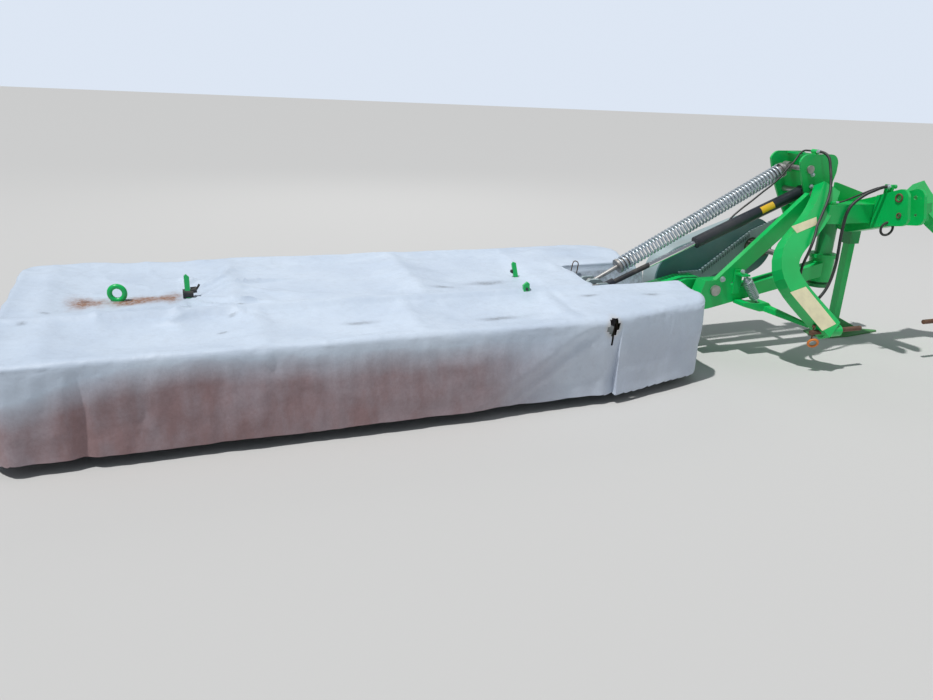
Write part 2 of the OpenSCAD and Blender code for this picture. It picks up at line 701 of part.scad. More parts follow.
// Gear housing at the bar's inner end and the neck to the lift hinge
module gearbox() {
  color([0.3, 0.32, 0.32]) place() union() {
    box(barEnd + 72.3, discY - 28, 40, hingeX - 225, discY + 110, 210);
    box(barEnd + 80, discY - 10, 205, hingeX - 235, discY + 139.7, 330);
  }
}

module hinge_carrier() {
  color([0.05, 0.66, 0.28]) place() difference() {
    union() {
      barY(hingeX, hingeZ, 40, 618, 800);
      plateY([[barEnd + 40, 255], [hingeX - 235, 215], [hingeX - 30, 375], [hingeX, 450], [hingeX - 120, 455], [barEnd + 40, 400]], 640, 778);
    }
    barY(hingeX, hingeZ, hingePinR + clear, 600, 830);
  }
}

beamY = discY + 190;
beamTop = 325;
ribPlaces = [160, 0.29 * coverLength, 0.56 * coverLength, slotX - 60];
bowPlaces = [0.065, 0.31, 0.515, 0.74] * coverLength;
ribHold = 18;
sagSteps = 4;

// Stations along the cover: place and depth of the sag, which is nothing over each carrier
function sagStations(carriers, depth) = concat([[-10, 0]],
  [for (i = [0:len(carriers) - 2]) for (k = [0:sagSteps])
    let (start = carriers[i] + ribHold, end = carriers[i + 1] - ribHold) [start + (end - start) * k / sagSteps, depth * sin(180 * k / sagSteps)]],
  [[coverLength + 10, 0]]);

// Points of a roof from p to q that hangs down between them
function hanging(p, q, sag, n) = [for (k = [0:n]) p + (q - p) * k / n - [0, sag * sin(180 * k / n)]];

// A body through outlines in y and z that stand at the stations: outlines are rows of [x, points]
module loftX(rows) {
  n = len(rows[0][1]);
  m = len(rows);
  points = [for (row = rows) for (p = row[1]) [row[0], p[0], p[1]]];
  faces = concat([for (k = [1:n - 2]) [0, k + 1, k]], [for (k = [1:n - 2]) [(m - 1) * n, (m - 1) * n + k, (m - 1) * n + k + 1]],
    [for (i = [0:m - 2]) for (k = [0:n - 1]) let (a = i * n + k, b = i * n + (k + 1) % n) each [[a, b + n, a + n], [a, b, b + n]]]);
  polyhedron(points = points, faces = faces);
}

function rearUnder(y) = coverHeight - coverWall - 2 + (y - guardLine + 60) * (rearTop - coverHeight + 2) / (coverDepth - 42 - guardLine + 60);
// Long beam over the bar that carries the covers
module cover_beam() {
  color([0.05, 0.6, 0.27]) place() union() {
    box(12, beamY - 30, beamTop - 65, barEnd + 39.7, beamY + 30, beamTop);
    box(12, discY + 90, 110, barStart - 76.3, beamY + 30, beamTop - 60);
  }
}

hingeRodR = 6;

// Cross ribs under the rear cover, with seats for the front guard's hinge rod
module cover_ribs() {
  color([0.05, 0.6, 0.27]) place() difference() {
    for (x = ribPlaces) union() {
      box(x - 10, guardLine - 4, coverHeight - 14, x + 10, guardLine + 8, coverHeight - 2);
      plateX([[guardLine + 6, rearUnder(guardLine + 6) - 28], [guardLine + 6, rearUnder(guardLine + 6) - 0.3],
      [coverDepth - 60, rearUnder(coverDepth - 60) - 0.3], [coverDepth - 26, rearTop - 46], [coverDepth - coverWall - 1, 420], [coverDepth - 26, 420],
      [coverDepth - 76, rearTop - 44], [beamY + 60, rearUnder(beamY) - 30], [beamY + 26, beamTop + 0.3], [beamY - 26, beamTop + 0.3],
      [beamY - 60, rearUnder(beamY) - 36]], x - 15, x + 15);
    }
    barX(guardLine, coverHeight, hingeRodR + clear, 0, coverLength);
  }
}

module hinge_rod() {
  color([0.6, 0.6, 0.58]) place() barX(guardLine, coverHeight, hingeRodR, 40, slotX + 20);
}

// Ears that hold the lift rod and the spring rod
module pull_bracket() {
  color([0.4, 0.45, 0.42]) place() union() {
    for (y = [cylinderY - 52, cylinderY + 36.5, springY + 27])
      plateY([[slotX - 20, beamTop + 0.3], [hingeX - 600, beamTop + 0.3], [hingeX - 640, 440], [eyePin[0] + 30, 470], [eyePin[0] - 30, 470],
        [slotX - 20, 400]], y, y + (y == cylinderY + 36.5 ? 26 : 15));
    box(slotX - 20, cylinderY - 52, beamTop + 0.3, hingeX - 600, springY + 42, beamTop + 10);
  }
}

rearOuter = concat([[0, guardLine + doorGap], [slotX, guardLine + doorGap], [slotX - 40, slotRear], [coverLength - 50, slotRear]],
  arc(coverLength - 250, coverDepth - 200, 200, 0, 90, 10), arc(150, coverDepth - 150, 150, 90, 180, 8));
rearInner = concat([[coverWall, guardLine - 50], [slotX + 200, guardLine - 50], [slotX + 200, slotRear - 200], [coverLength - 50 - coverWall, slotRear - 200]],
  arc(coverLength - 250, coverDepth - 200, 200 - coverWall, 0, 90, 10), arc(150, coverDepth - 150, 150 - coverWall, 90, 180, 8));

roofSteps = 5;
function rearSide(sag) = concat([[guardLine - 10, skirtBottom]], hanging([guardLine - 10, coverHeight], [coverDepth - 40, rearTop], sag, roofSteps),
  [[coverDepth - 8, rearTop - 16], [coverDepth, rearTop - 50], [coverDepth, skirtBottom]]);
function rearSideInner(sag) = concat([[guardLine - 60, 0]],
  hanging([guardLine - 60, coverHeight - coverWall - 2], [coverDepth - 42, rearTop - coverWall], sag, roofSteps),
  [[coverDepth - 12, rearTop - 20], [coverDepth - coverWall, rearTop - 52], [coverDepth - coverWall, 0]]);

module rearBody() {
  loftX([for (s = sagStations(ribPlaces, rearSag)) [s[0], rearSide(s[1])]]);
}

// Sheet over the rear of the bar
module cover_rear() {
  color([0.78, 0.8, 0.84]) place() difference() {
    intersection() {
      linear_extrude(height = 900) polygon(rearOuter);
      rearBody();
    }
    intersection() {
      translate([0, 0, -10]) linear_extrude(height = 900) polygon(rearInner);
      loftX([for (s = sagStations(ribPlaces, rearSag)) [s[0], rearSideInner(s[1])]]);
    }
  }
}

frontOuter = concat(arc(90, 90, 90, 180, 270, 8), [[coverLength - 720, 0]], [[coverLength - 190, 110]],
  arc(coverLength - 130, 240, 130, -60, 0, 6), [[coverLength, guardLine - doorGap], [0, guardLine - doorGap]]);
frontInner = concat(arc(90, 90, 90 - coverWall, 180, 270, 8), [[coverLength - 720 - coverWall / 2, coverWall]], [[coverLength - 192, 110 + coverWall]],
  arc(coverLength - 130, 240, 130 - coverWall, -60, 0, 6), [[coverLength - coverWall, guardLine + 50], [coverWall, guardLine + 50]]);

function frontSide(sag) = concat([[0, skirtBottom], [0, frontTop - 40], [10, frontTop - 12]],
  hanging([36, frontTop], [guardLine + 10, coverHeight], sag, roofSteps), [[guardLine + 10, skirtBottom]]);
function frontSideInner(sag) = concat([[coverWall, 0], [coverWall, frontTop - 42], [14, frontTop - 16]],
  hanging([38, frontTop - coverWall], [guardLine + 60, coverHeight - coverWall + 3], sag, roofSteps), [[guardLine + 60, 0]]);

module frontBody() {
  loftX([for (s = sagStations(bowPlaces, frontSag)) [s[0], frontSide(s[1])]]);
}

// Sheet of the front guard that folds up
module cover_front() {
  color([0.78, 0.8, 0.84]) place() difference() {
    intersection() {
      linear_extrude(height = 900) polygon(frontOuter);
      frontBody();
    }
    intersection() {
      translate([0, 0, -10]) linear_extrude(height = 900) polygon(frontInner);
      loftX([for (s = sagStations(bowPlaces, frontSag)) [s[0], frontSideInner(s[1])]]);
    }
  }
}

hingeEyeR = 8.5;
bowHalf = 14;
railR = 12;

// Bows with hinge eyes, and front rail, under the front guard's sheet
module guard_frame() {
  color([0.05, 0.6, 0.27]) place() difference() {
    union() {
      for (x = bowPlaces) {
        barX(guardLine, coverHeight, hingeEyeR, x - 10, x + 10);
        box(x - 8, guardLine - hingeEyeR, coverHeight - 16, x + 8, guardLine, coverHeight - 3);
        box(x - 8, guardLine - 14, coverHeight - 16, x + 8, guardLine - hingeEyeR + 1, coverHeight - 8.4);
        plateX([[coverWall + 1, frontTop - 80], [coverWall + 1, frontTop - 44], [40, frontTop - coverWall - 2],
          [guardLine - 12, coverHeight - coverWall - 3.4], [guardLine - 12, coverHeight - 34], [50, frontTop - 36], [30, frontTop - 80]],
          x - bowHalf, x + bowHalf);
      }
      barX(34, frontTop - 66, railR, 100, coverLength - 740);
    }
    barX(guardLine, coverHeight, hingeRodR + clear, 0, coverLength);
  }
}

// Lugs by the hinge line: start along the cover, length and height
lugRows = [[460, 40, 30], [2420, 30, 45]];

module guard_lugs() {
  color([0.05, 0.66, 0.28]) place() difference() {
    for (row = lugRows)
      box(row[0], guardLine - 34, coverHeight - 30, row[0] + row[1], guardLine - 12, coverHeight + row[2]);
    frontBody();
  }
}

tabPlace = [2505, 780];
handlePlace = [770, 725];

// Upright tab and guard handle on the rear sheet
module cover_fittings() {
  color([0.05, 0.6, 0.27]) place() difference() {
    union() {
      translate([tabPlace[0], tabPlace[1], coverHeight - 30]) cube([30, 20, 100]);
      translate([handlePlace[0], handlePlace[1], coverHeight - 30]) cube([20, 20, 140]);
      translate([handlePlace[0] - 15, handlePlace[1] - 10, coverHeight + 80]) cube([50, 40, 32]);
    }
    rearBody();
  }
}

near_leg();
far_leg();
near_link_pin();
far_link_pin();
pivot_column();
top_frame();
top_link_clevis();
stand_sleeve();
parking_leg();
swing_arm();
tower();
tower_pins();
diagonal_brace();
rear_arm();
lift_pin();
belt_guard();
guard_plate();
drive_bearing();
drive_shaft();
latch_link();
latch_spring();
lift_barrel();
lift_rod();
rod_eye();
spring_head();
balance_spring();
spring_rod();
cutterbar();
skids();
outer_shoe();
inner_shoe();
disc_1();
disc_2();
disc_3();
disc_4();
disc_5();
disc_6();
disc_7();
disc_8();
gearbox();
hinge_carrier();
cover_beam();
cover_ribs();
hinge_rod();
pull_bracket();
cover_rear();
cover_front();
guard_frame();
guard_lugs();
cover_fittings();
hose_crown();
hose_drop();
hose_arm();
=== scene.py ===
import bpy
import json
import math
from mathutils import Matrix, Vector, noise


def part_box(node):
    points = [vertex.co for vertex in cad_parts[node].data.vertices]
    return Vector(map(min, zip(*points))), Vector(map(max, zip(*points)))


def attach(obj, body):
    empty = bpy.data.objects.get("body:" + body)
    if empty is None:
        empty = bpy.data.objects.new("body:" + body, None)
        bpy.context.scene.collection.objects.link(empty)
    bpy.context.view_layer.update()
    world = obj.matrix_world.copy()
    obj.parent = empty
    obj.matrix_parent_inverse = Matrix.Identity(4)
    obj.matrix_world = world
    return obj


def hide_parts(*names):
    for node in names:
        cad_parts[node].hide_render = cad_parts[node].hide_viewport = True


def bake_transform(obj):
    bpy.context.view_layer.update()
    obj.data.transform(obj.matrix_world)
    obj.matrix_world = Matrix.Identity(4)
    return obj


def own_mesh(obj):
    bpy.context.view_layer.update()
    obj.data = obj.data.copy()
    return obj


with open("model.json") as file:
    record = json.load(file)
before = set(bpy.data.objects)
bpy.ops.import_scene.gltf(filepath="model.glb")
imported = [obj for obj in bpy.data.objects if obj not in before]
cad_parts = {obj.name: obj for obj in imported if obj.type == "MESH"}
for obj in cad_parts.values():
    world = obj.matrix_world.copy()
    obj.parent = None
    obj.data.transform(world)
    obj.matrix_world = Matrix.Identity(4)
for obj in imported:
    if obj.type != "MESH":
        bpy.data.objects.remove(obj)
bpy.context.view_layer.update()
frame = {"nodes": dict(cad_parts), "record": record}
nodes = frame["nodes"]

# Corner of the cover: outer face and front face, in the frame
corner = Vector((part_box("cover_front")[0][0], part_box("cover_front")[0][1], 0))


# Machine millimetres to the frame's metres
def place(x, y, z):
    return Vector((corner.x + x / 1000, corner.y + y / 1000, z / 1000))


def nothingSelected():
    for item in bpy.context.selected_objects:
        item.select_set(False)


# Selects one piece alone and makes it active
def take(piece):
    nothingSelected()
    piece.select_set(True)
    bpy.context.view_layer.objects.active = piece


# Puts the piece's place into its mesh
def settle(piece, name):
    take(piece)
    piece.name = name
    bpy.ops.object.transform_apply(location=True, rotation=True, scale=True)
    return piece


def applyAll(piece):
    take(piece)
    for modifier in list(piece.modifiers):
        bpy.ops.object.modifier_apply(modifier=modifier.name)


def mode(name):
    bpy.ops.object.mode_set(mode=name)


def faceOutwards(piece):
    take(piece)
    mode("EDIT")
    bpy.ops.mesh.select_all(action="SELECT")
    bpy.ops.mesh.normals_make_consistent(inside=False)
    mode("OBJECT")


# Leaves no edge or face of the piece's mesh selected
def deselectMesh(piece, kind):
    take(piece)
    mode("EDIT")
    bpy.ops.mesh.select_mode(type=kind)
    bpy.ops.mesh.select_all(action="DESELECT")
    mode("OBJECT")


# Turns a piece that stands upright until it points along direction
def aim(piece, direction):
    piece.rotation_mode = "QUATERNION"
    piece.rotation_quaternion = Vector((0, 0, 1)).rotation_difference(direction)


# Grows from 0 at start to 1 at start + width
def grow(value, start, width):
    return min(1, max(0, (value - start) / width))


# A soft bump of height 1 about zero
def bump1(value, width):
    return math.exp(-(value / width) ** 2)


def smooth(piece, angle=35):
    take(piece)
    bpy.ops.object.shade_smooth_by_angle(angle=math.radians(angle))


# Camera at the photograph's viewpoint
cameraSettings = {
    "place": (786, -2987, 1500),
    "turn": 21.12,  # from the rear direction towards the headstock
    "down": 19.45,
    "roll": 2.30,
    "focal": 750 / 933 * 36,
}


def makeCamera(settings):
    turn = math.radians(settings["turn"])
    down = math.radians(settings["down"])
    roll = math.radians(settings["roll"])
    ahead = Vector((math.sin(turn) * math.cos(down), math.cos(turn) * math.cos(down), -math.sin(down)))
    right = Vector((math.cos(turn), -math.sin(turn), 0))
    up = right.cross(ahead)
    rolledRight = right * math.cos(roll) + up * math.sin(roll)
    rolledUp = -right * math.sin(roll) + up * math.cos(roll)
    bpy.ops.object.camera_add()
    camera = bpy.context.object
    camera.matrix_world = Matrix.Translation(place(*settings["place"])) @ Matrix(
        (rolledRight, rolledUp, -ahead)).transposed().to_4x4()
    camera.data.lens = settings["focal"]
    camera.data.sensor_width = 36
    camera.data.clip_end = 60
    bpy.context.scene.camera = camera


makeCamera(cameraSettings)
print("camera placed")

# Material helpers


def newMaterial(name):
    material = bpy.data.materials.new(name)
    material.use_nodes = True
    tree = material.node_tree
    shader = tree.nodes["Principled BSDF"]
    return material, tree, shader


# A shader group: inputs are (name, kind, value), outputs are (name, kind)
def newGroup(name, inputs, outputs):
    group = bpy.data.node_groups.new(name, "ShaderNodeTree")
    for label, kind, value in inputs:
        socket = group.interface.new_socket(label, in_out="INPUT", socket_type="NodeSocket" + kind)
        socket.default_value = value
    for label, kind in outputs:
        group.interface.new_socket(label, in_out="OUTPUT", socket_type="NodeSocket" + kind)
    entry = group.nodes.new("NodeGroupInput")
    leave = group.nodes.new("NodeGroupOutput")
    return group, entry, leave


def addNode(tree, kind, **values):
    node = tree.nodes.new("ShaderNode" + kind)
    for key, value in values.items():
        setattr(node, key, value)
    return node


# Gives a socket its number or colour, or links a node's output to it
def give(tree, value, socket):
    if isinstance(value, (int, float)):
        socket.default_value = value
    elif isinstance(value, tuple):
        socket.default_value = (*value, 1)
    else:
        tree.links.new(value, socket)


def math2(tree, operation, a, b, clamp=False):
    node = addNode(tree, "Math", operation=operation, use_clamp=clamp)
    give(tree, a, node.inputs[0])
    give(tree, b, node.inputs[1])
    return node.outputs[0]


def times(tree, a, b, clamp=False):
    return math2(tree, "MULTIPLY", a, b, clamp)


def plus(tree, a, b, clamp=False):
    return math2(tree, "ADD", a, b, clamp)


def minus(tree, a, b):
    return math2(tree, "SUBTRACT", a, b)


def higher(tree, a, b):
    return math2(tree, "MAXIMUM", a, b)


# Links a value to one of the shader's inputs
def feed(shader, label, value):
    shader.id_data.links.new(value, shader.inputs[label])


def mixColour(tree, factor, a, b):
    node = addNode(tree, "Mix", data_type="RGBA")
    give(tree, factor, node.inputs[0])
    give(tree, a, node.inputs[6])
    give(tree, b, node.inputs[7])
    return node.outputs[2]


# A smooth step from low to high
def ramp(tree, value, low, high):
    node = addNode(tree, "MapRange", interpolation_type="SMOOTHSTEP")
    give(tree, value, node.inputs[0])
    node.inputs[1].default_value = low
    node.inputs[2].default_value = high
    return node.outputs[0]


# Noise on the object's own coordinates
def noiseOf(tree, scale, detail=4, rough=0.55, stretch=None):
    vector = addNode(tree, "TexCoord").outputs["Object"]
    if stretch:
        mapping = addNode(tree, "Mapping")
        mapping.inputs["Scale"].default_value = stretch
        tree.links.new(vector, mapping.inputs[0])
        vector = mapping.outputs[0]
    node = addNode(tree, "TexNoise")
    tree.links.new(vector, node.inputs["Vector"])
    give(tree, scale, node.inputs["Scale"])
    node.inputs["Detail"].default_value = detail
    node.inputs["Roughness"].default_value = rough
    return node.outputs["Fac"]


# Mask of the edges that stand proud, broken up by noise
def makeEdgeWear():
    group, entry, leave = newGroup(
        "edgeWear", [("Radius", "Float", 0.004), ("Amount", "Float", 0.5)], [("Mask", "Float")])
    bevel = addNode(group, "Bevel", samples=4)
    group.links.new(entry.outputs["Radius"], bevel.inputs["Radius"])
    geometry = addNode(group, "NewGeometry")
    dot = addNode(group, "VectorMath", operation="DOT_PRODUCT")
    group.links.new(bevel.outputs[0], dot.inputs[0])
    group.links.new(geometry.outputs["True Normal"], dot.inputs[1])
    edge = ramp(group, minus(group, 1.0, dot.outputs["Value"]), 0.01, 0.22)
    broken = ramp(group, noiseOf(group, 38, 5, 0.65), 0.42, 0.62)
    mask = times(group, times(group, edge, broken), entry.outputs["Amount"], True)
    group.links.new(mask, leave.inputs["Mask"])
    return group


# Mask of dust: more on faces that look up, in soft patches
def makeDust():
    group, entry, leave = newGroup(
        "dustLayer", [("Amount", "Float", 0.5), ("Scale", "Float", 6.0)], [("Mask", "Float")])
    geometry = addNode(group, "NewGeometry")
    split = addNode(group, "SeparateXYZ")
    group.links.new(geometry.outputs["Normal"], split.inputs[0])
    up = ramp(group, split.outputs[2], -0.2, 0.95)
    patches = ramp(group, noiseOf(group, entry.outputs["Scale"], 7, 0.62), 0.35, 0.75)
    base = plus(group, times(group, up, 0.7), 0.3)
    mask = times(group, times(group, base, patches), entry.outputs["Amount"], True)
    group.links.new(mask, leave.inputs["Mask"])
    return group


# Mask of soil splashed up from the ground to a height
def makeGroundDirt():
    group, entry, leave = newGroup(
        "groundDirt", [("Height", "Float", 0.3), ("Amount", "Float", 0.8)], [("Mask", "Float")])
    split = addNode(group, "SeparateXYZ")
    group.links.new(addNode(group, "TexCoord").outputs["Object"], split.inputs[0])
    share = math2(group, "DIVIDE", split.outputs[2], entry.outputs["Height"])
    wobble = times(group, minus(group, noiseOf(group, 7, 8, 0.65), 0.5), 1.4)
    low = ramp(group, minus(group, plus(group, 1.0, wobble), share), 0.0, 0.9)
    mask = times(group, low, entry.outputs["Amount"], True)
    group.links.new(mask, leave.inputs["Mask"])
    return group


# Mask of small separate spots, such as chips and rust
def makeSpots():
    group, entry, leave = newGroup(
        "spots", [("Scale", "Float", 40.0), ("Amount", "Float", 0.5)], [("Mask", "Float")])
    area = ramp(group, noiseOf(group, 5, 2), 0.35, 0.7)
    spots = ramp(group, noiseOf(group, entry.outputs["Scale"], 8, 0.7), 0.62, 0.7)
    mask = times(group, times(group, spots, area), entry.outputs["Amount"], True)
    group.links.new(mask, leave.inputs["Mask"])
    return group


edgeWear = makeEdgeWear()
dustLayer = makeDust()
groundDirt = makeGroundDirt()
spotLayer = makeSpots()


def useGroup(tree, group, **values):
    node = addNode(tree, "Group")
    node.node_tree = group
    for key, value in values.items():
        node.inputs[key].default_value = value
    return node.outputs[0]


def bumpFrom(tree, shader, height, strength, distance):
    bump = addNode(tree, "Bump")
    bump.inputs["Strength"].default_value = strength
    bump.inputs["Distance"].default_value = distance
    tree.links.new(height, bump.inputs["Height"])
    feed(shader, "Normal", bump.outputs[0])


dustColour = (0.30, 0.26, 0.20)
rustColour = (0.16, 0.06, 0.025)
soilColour = (0.13, 0.095, 0.065)


# Sprayed paint with worn edges, chips, dust and soil
def paintMaterial(name, colour, shade, settings):
    material, tree, shader = newMaterial(name)
    tone = ramp(tree, noiseOf(tree, 3.5, 3), 0.3, 0.7)
    base = mixColour(tree, tone, colour, shade)
    worn = useGroup(tree, edgeWear, Radius=settings["edge"], Amount=settings["wear"])
    chips = useGroup(tree, spotLayer, Scale=60.0, Amount=settings["chips"])
    bare = higher(tree, worn, chips)
    metal = mixColour(tree, ramp(tree, noiseOf(tree, 25, 4), 0.4, 0.6), rustColour, (0.34, 0.33, 0.31))
    base = mixColour(tree, bare, base, metal)
    dust = useGroup(tree, dustLayer, Amount=settings["dust"], Scale=5.0)
    base = mixColour(tree, dust, base, dustColour)
    soil = useGroup(tree, groundDirt, Height=settings["soilHeight"], Amount=settings["soil"])
    base = mixColour(tree, soil, base, soilColour)
    feed(shader, "Base Color", base)
    rough = plus(tree, times(tree, higher(tree, dust, soil), 0.5), settings["rough"])
    rough = plus(tree, rough, times(tree, bare, 0.2), True)
    feed(shader, "Roughness", rough)
    shader.inputs["Coat Roughness"].default_value = 0.2
    shader.inputs["Coat Weight"].default_value = settings["coat"]
    height = minus(tree, times(tree, noiseOf(tree, 260, 2), 0.25), bare)
    bumpFrom(tree, shader, height, 0.25, 0.0006)
    return material


greenSettings = {"edge": 0.003, "wear": 0.6, "chips": 0.5, "dust": 0.05, "soilHeight": 0.16, "soil": 0.6,
                 "rough": 0.34, "coat": 0.15}
greenPaint = paintMaterial("greenPaint", (0.0, 0.60, 0.13), (0.0, 0.50, 0.10), greenSettings)
# Green paint darkened as painted shade, for parts that lie in shade under the frames and the cover; it also
# has more dust
shadedGreenPaint = paintMaterial("shadedGreenPaint", (0.0, 0.30, 0.075), (0.0, 0.23, 0.055),
                               greenSettings | {"dust": 0.2})
dustySettings = greenSettings | {"dust": 0.35, "wear": 0.4}
# Dark blue-grey as painted shade: the guard's grey as it looks where it lies in shade behind the arms
tealShadePaint = paintMaterial("tealShadePaint", (0.055, 0.17, 0.175), (0.08, 0.21, 0.21), dustySettings)
palePaint = paintMaterial("palePaint", (0.36, 0.48, 0.50), (0.30, 0.42, 0.44), dustySettings | {"dust": 0.3})
greyPaint = paintMaterial("greyPaint", (0.40, 0.50, 0.51), (0.34, 0.44, 0.45), dustySettings)
blackSettings = greenSettings | {"dust": 0.12, "wear": 0.3, "chips": 0.35, "soil": 0.1, "rough": 0.32}
blackPaint = paintMaterial("blackPaint", (0.018, 0.022, 0.032), (0.03, 0.035, 0.045), blackSettings)


# Bare or plated steel with rust and grime
def steelMaterial(name, colour, shade, rough, metallic, dirt, rust, grain=(1, 1, 1)):
    material, tree, shader = newMaterial(name)
    tone = ramp(tree, noiseOf(tree, 30, 5, 0.6, stretch=grain), 0.3, 0.7)
    base = mixColour(tree, tone, colour, shade)
    spots = useGroup(tree, spotLayer, Scale=28.0, Amount=rust)
    base = mixColour(tree, spots, base, rustColour)
    dust = useGroup(tree, dustLayer, Amount=dirt, Scale=9.0)
    base = mixColour(tree, dust, base, dustColour)
    feed(shader, "Base Color", base)
    cover = higher(tree, spots, dust)
    feed(shader, "Metallic", times(tree, minus(tree, 1.0, cover), metallic))
    feed(shader, "Roughness", plus(tree, times(tree, cover, 0.4), rough, True))
    bumpFrom(tree, shader, plus(tree, tone, spots), 0.2, 0.0005)
    return material


# Black rubber, dusty on top
def rubberMaterial(name, colour, rough):
    material, tree, shader = newMaterial(name)
    dust = useGroup(tree, dustLayer, Amount=0.5, Scale=14.0)
    base = mixColour(tree, dust, colour, (0.16, 0.15, 0.13))
    feed(shader, "Base Color", base)
    feed(shader, "Roughness", plus(tree, times(tree, dust, 0.3), rough, True))
    bumpFrom(tree, shader, noiseOf(tree, 300, 3), 0.2, 0.0004)
    return material


# The lift cylinder's rod: chrome where it slides, black and dirty below a place along the cover
def rodMaterial(name, blackBelow):
    material, tree, shader = newMaterial(name)
    split = addNode(tree, "SeparateXYZ")
    tree.links.new(addNode(tree, "TexCoord").outputs["Object"], split.inputs[0])
    edge = place(blackBelow, 0, 0).x
    chrome = ramp(tree, split.outputs[0], edge - 0.004, edge + 0.004)
    dust = useGroup(tree, dustLayer, Amount=0.4, Scale=9.0)
    dark = mixColour(tree, dust, (0.02, 0.022, 0.026), dustColour)
    base = mixColour(tree, chrome, dark, (0.88, 0.89, 0.90))
    feed(shader, "Base Color", base)
    feed(shader, "Metallic", chrome)
    feed(shader, "Roughness", minus(tree, 0.6, times(tree, chrome, 0.45)))
    return material


# A blank sticker: flat colour, scuffed and dirty at places
def stickerMaterial(name, colour, scuff):
    material, tree, shader = newMaterial(name)
    worn = useGroup(tree, spotLayer, Scale=34.0, Amount=scuff)
    base = mixColour(tree, worn, colour, tuple(value * 0.35 for value in colour))
    dust = useGroup(tree, dustLayer, Amount=0.3, Scale=16.0)
    base = mixColour(tree, dust, base, dustColour)
    feed(shader, "Base Color", base)
    shader.inputs["Roughness"].default_value = 0.42
    return material


zincSteel = steelMaterial("zincSteel", (0.70, 0.76, 0.80), (0.52, 0.58, 0.63), 0.36, 0.75, 0.15, 0.1)
brightSteel = steelMaterial("brightSteel", (0.55, 0.54, 0.52), (0.38, 0.37, 0.36), 0.38, 0.85, 0.35, 0.6)
chromeRod = steelMaterial("chromeRod", (0.86, 0.87, 0.88), (0.78, 0.79, 0.81), 0.12, 1.0, 0.1, 0.05)
rustySteel = steelMaterial("rustySteel", (0.20, 0.095, 0.055), (0.12, 0.055, 0.035), 0.62, 0.25, 0.3, 0.9)
discSteel = steelMaterial("discSteel", (0.24, 0.17, 0.12), (0.32, 0.28, 0.24), 0.55, 0.5, 0.6, 0.9)
barSteel = steelMaterial("barSteel", (0.10, 0.10, 0.09), (0.15, 0.13, 0.11), 0.6, 0.3, 0.8, 0.7)

hoseRubber = rubberMaterial("hoseRubber", (0.022, 0.023, 0.025), 0.45)
dullRubber = rubberMaterial("dullRubber", (0.03, 0.03, 0.03), 0.7)
creamSticker = stickerMaterial("creamSticker", (0.86, 0.80, 0.52), 0.3)
yellowSticker = stickerMaterial("yellowSticker", (0.85, 0.52, 0.02), 0.2)
# Black for the slots: painted shade inside the openings
slotShadeBlack = stickerMaterial("slotShadeBlack", (0.03, 0.05, 0.06), 0.0)
orangeRing = stickerMaterial("orangeRing", (0.75, 0.22, 0.03), 0.3)

liftRod = rodMaterial("liftRod", 3309)

finishes = {
    "green_paint": greenPaint,
    "pin_steel": rustySteel,
    "bright_steel": brightSteel,
    "cylinder_black": blackPaint,
    "chrome_rod": chromeRod,
    "spring_zinc": zincSteel,
    "guard_grey": greyPaint,
    "guard_teal": tealShadePaint,
    "bar_steel": barSteel,
    "disc_steel": discSteel,
    "cover_sheet": greyPaint,
    "hose_rubber": hoseRubber,
}
# Parts given the darker green as painted shade
shadedNodes = ("stand_sleeve", "pivot_column", "cover_beam", "cover_ribs", "guard_frame", "outer_shoe",
             "inner_shoe")


# Gives every node its material; the shaded parts get the darker green as painted shade
def finishNodes():
    slots = {row["node"]: row["material_slot"] for row in frame["record"]["subparts"]}
    ownPaint = dict.fromkeys(shadedNodes, shadedGreenPaint) | {"lift_rod": liftRod, "rear_arm": palePaint}
    for name, item in nodes.items():
        material = ownPaint.get(name, finishes[slots[name]])
        item.data.materials.clear()
        item.data.materials.append(material)


finishNodes()
print("materials made")

# The cover: one coated sheet over both frames, in machine millimetres
coverSettings = {
    "length": 3410,
    "depth": 1300,
    "low": 45,  # hem above the ground
    "front": 462,  # height of the roof's front edge
    "hinge": (470, 500),  # depth and height of the hinge line
    "rear": 550,  # height of the roof's rear edge
    "slotFront": 467,  # depths of the slot for the lift rods
    "slotRear": 860,
    "rearEnd": 3360,  # inner end of the part behind the slot
    "cutFrom": (2690, 0),  # the front inner corner is cut off from here
    "cutTo": (3240, 125),
    "corner": 0.11,  # radii in metres
    "rearCorner": 0.2,
    "rim": 0.032,
    "voxel": 0.013,
    "ribs": (160, 989, 1910, 2800),  # carriers under the rear sheet
    "bows": (222, 1057, 1756, 2523),  # carriers under the front sheet
    "rearSag": 20,
    "frontSag": 13,
    "roofFront": 36,  # depths between which the roof rises
    "roofRear": 1260,
}
troughSettings = {
    "top": ((2848, 467), (3460, 860), 505),  # two corners and the height
    "floor": ((2950, 590), (3460, 800), 352),
    "over": 700,
    "floorEnd": 3325,
    "endFace": 3395,
    "inside": (2830, 455, 872),  # start along the cover, front and rear
}
tearSettings = {"centre": (2708, 414), "half": (37, 41), "ragged": 0.3, "tail": (2713, 9, 322, 390)}


# Adds a mesh from points and faces
def addMesh(name, points, faces):
    mesh = bpy.data.meshes.new(name)
    mesh.from_pydata([tuple(point) for point in points], [], faces)
    piece = bpy.data.objects.new(name, mesh)
    bpy.context.collection.objects.link(piece)
    return piece


# A box between two machine corners
def boxPiece(name, low, high):
    a = place(*low)
    b = place(*high)
    bpy.ops.mesh.primitive_cube_add(size=1, location=(a + b) / 2)
    piece = bpy.context.object
    piece.scale = b - a
    return settle(piece, name)


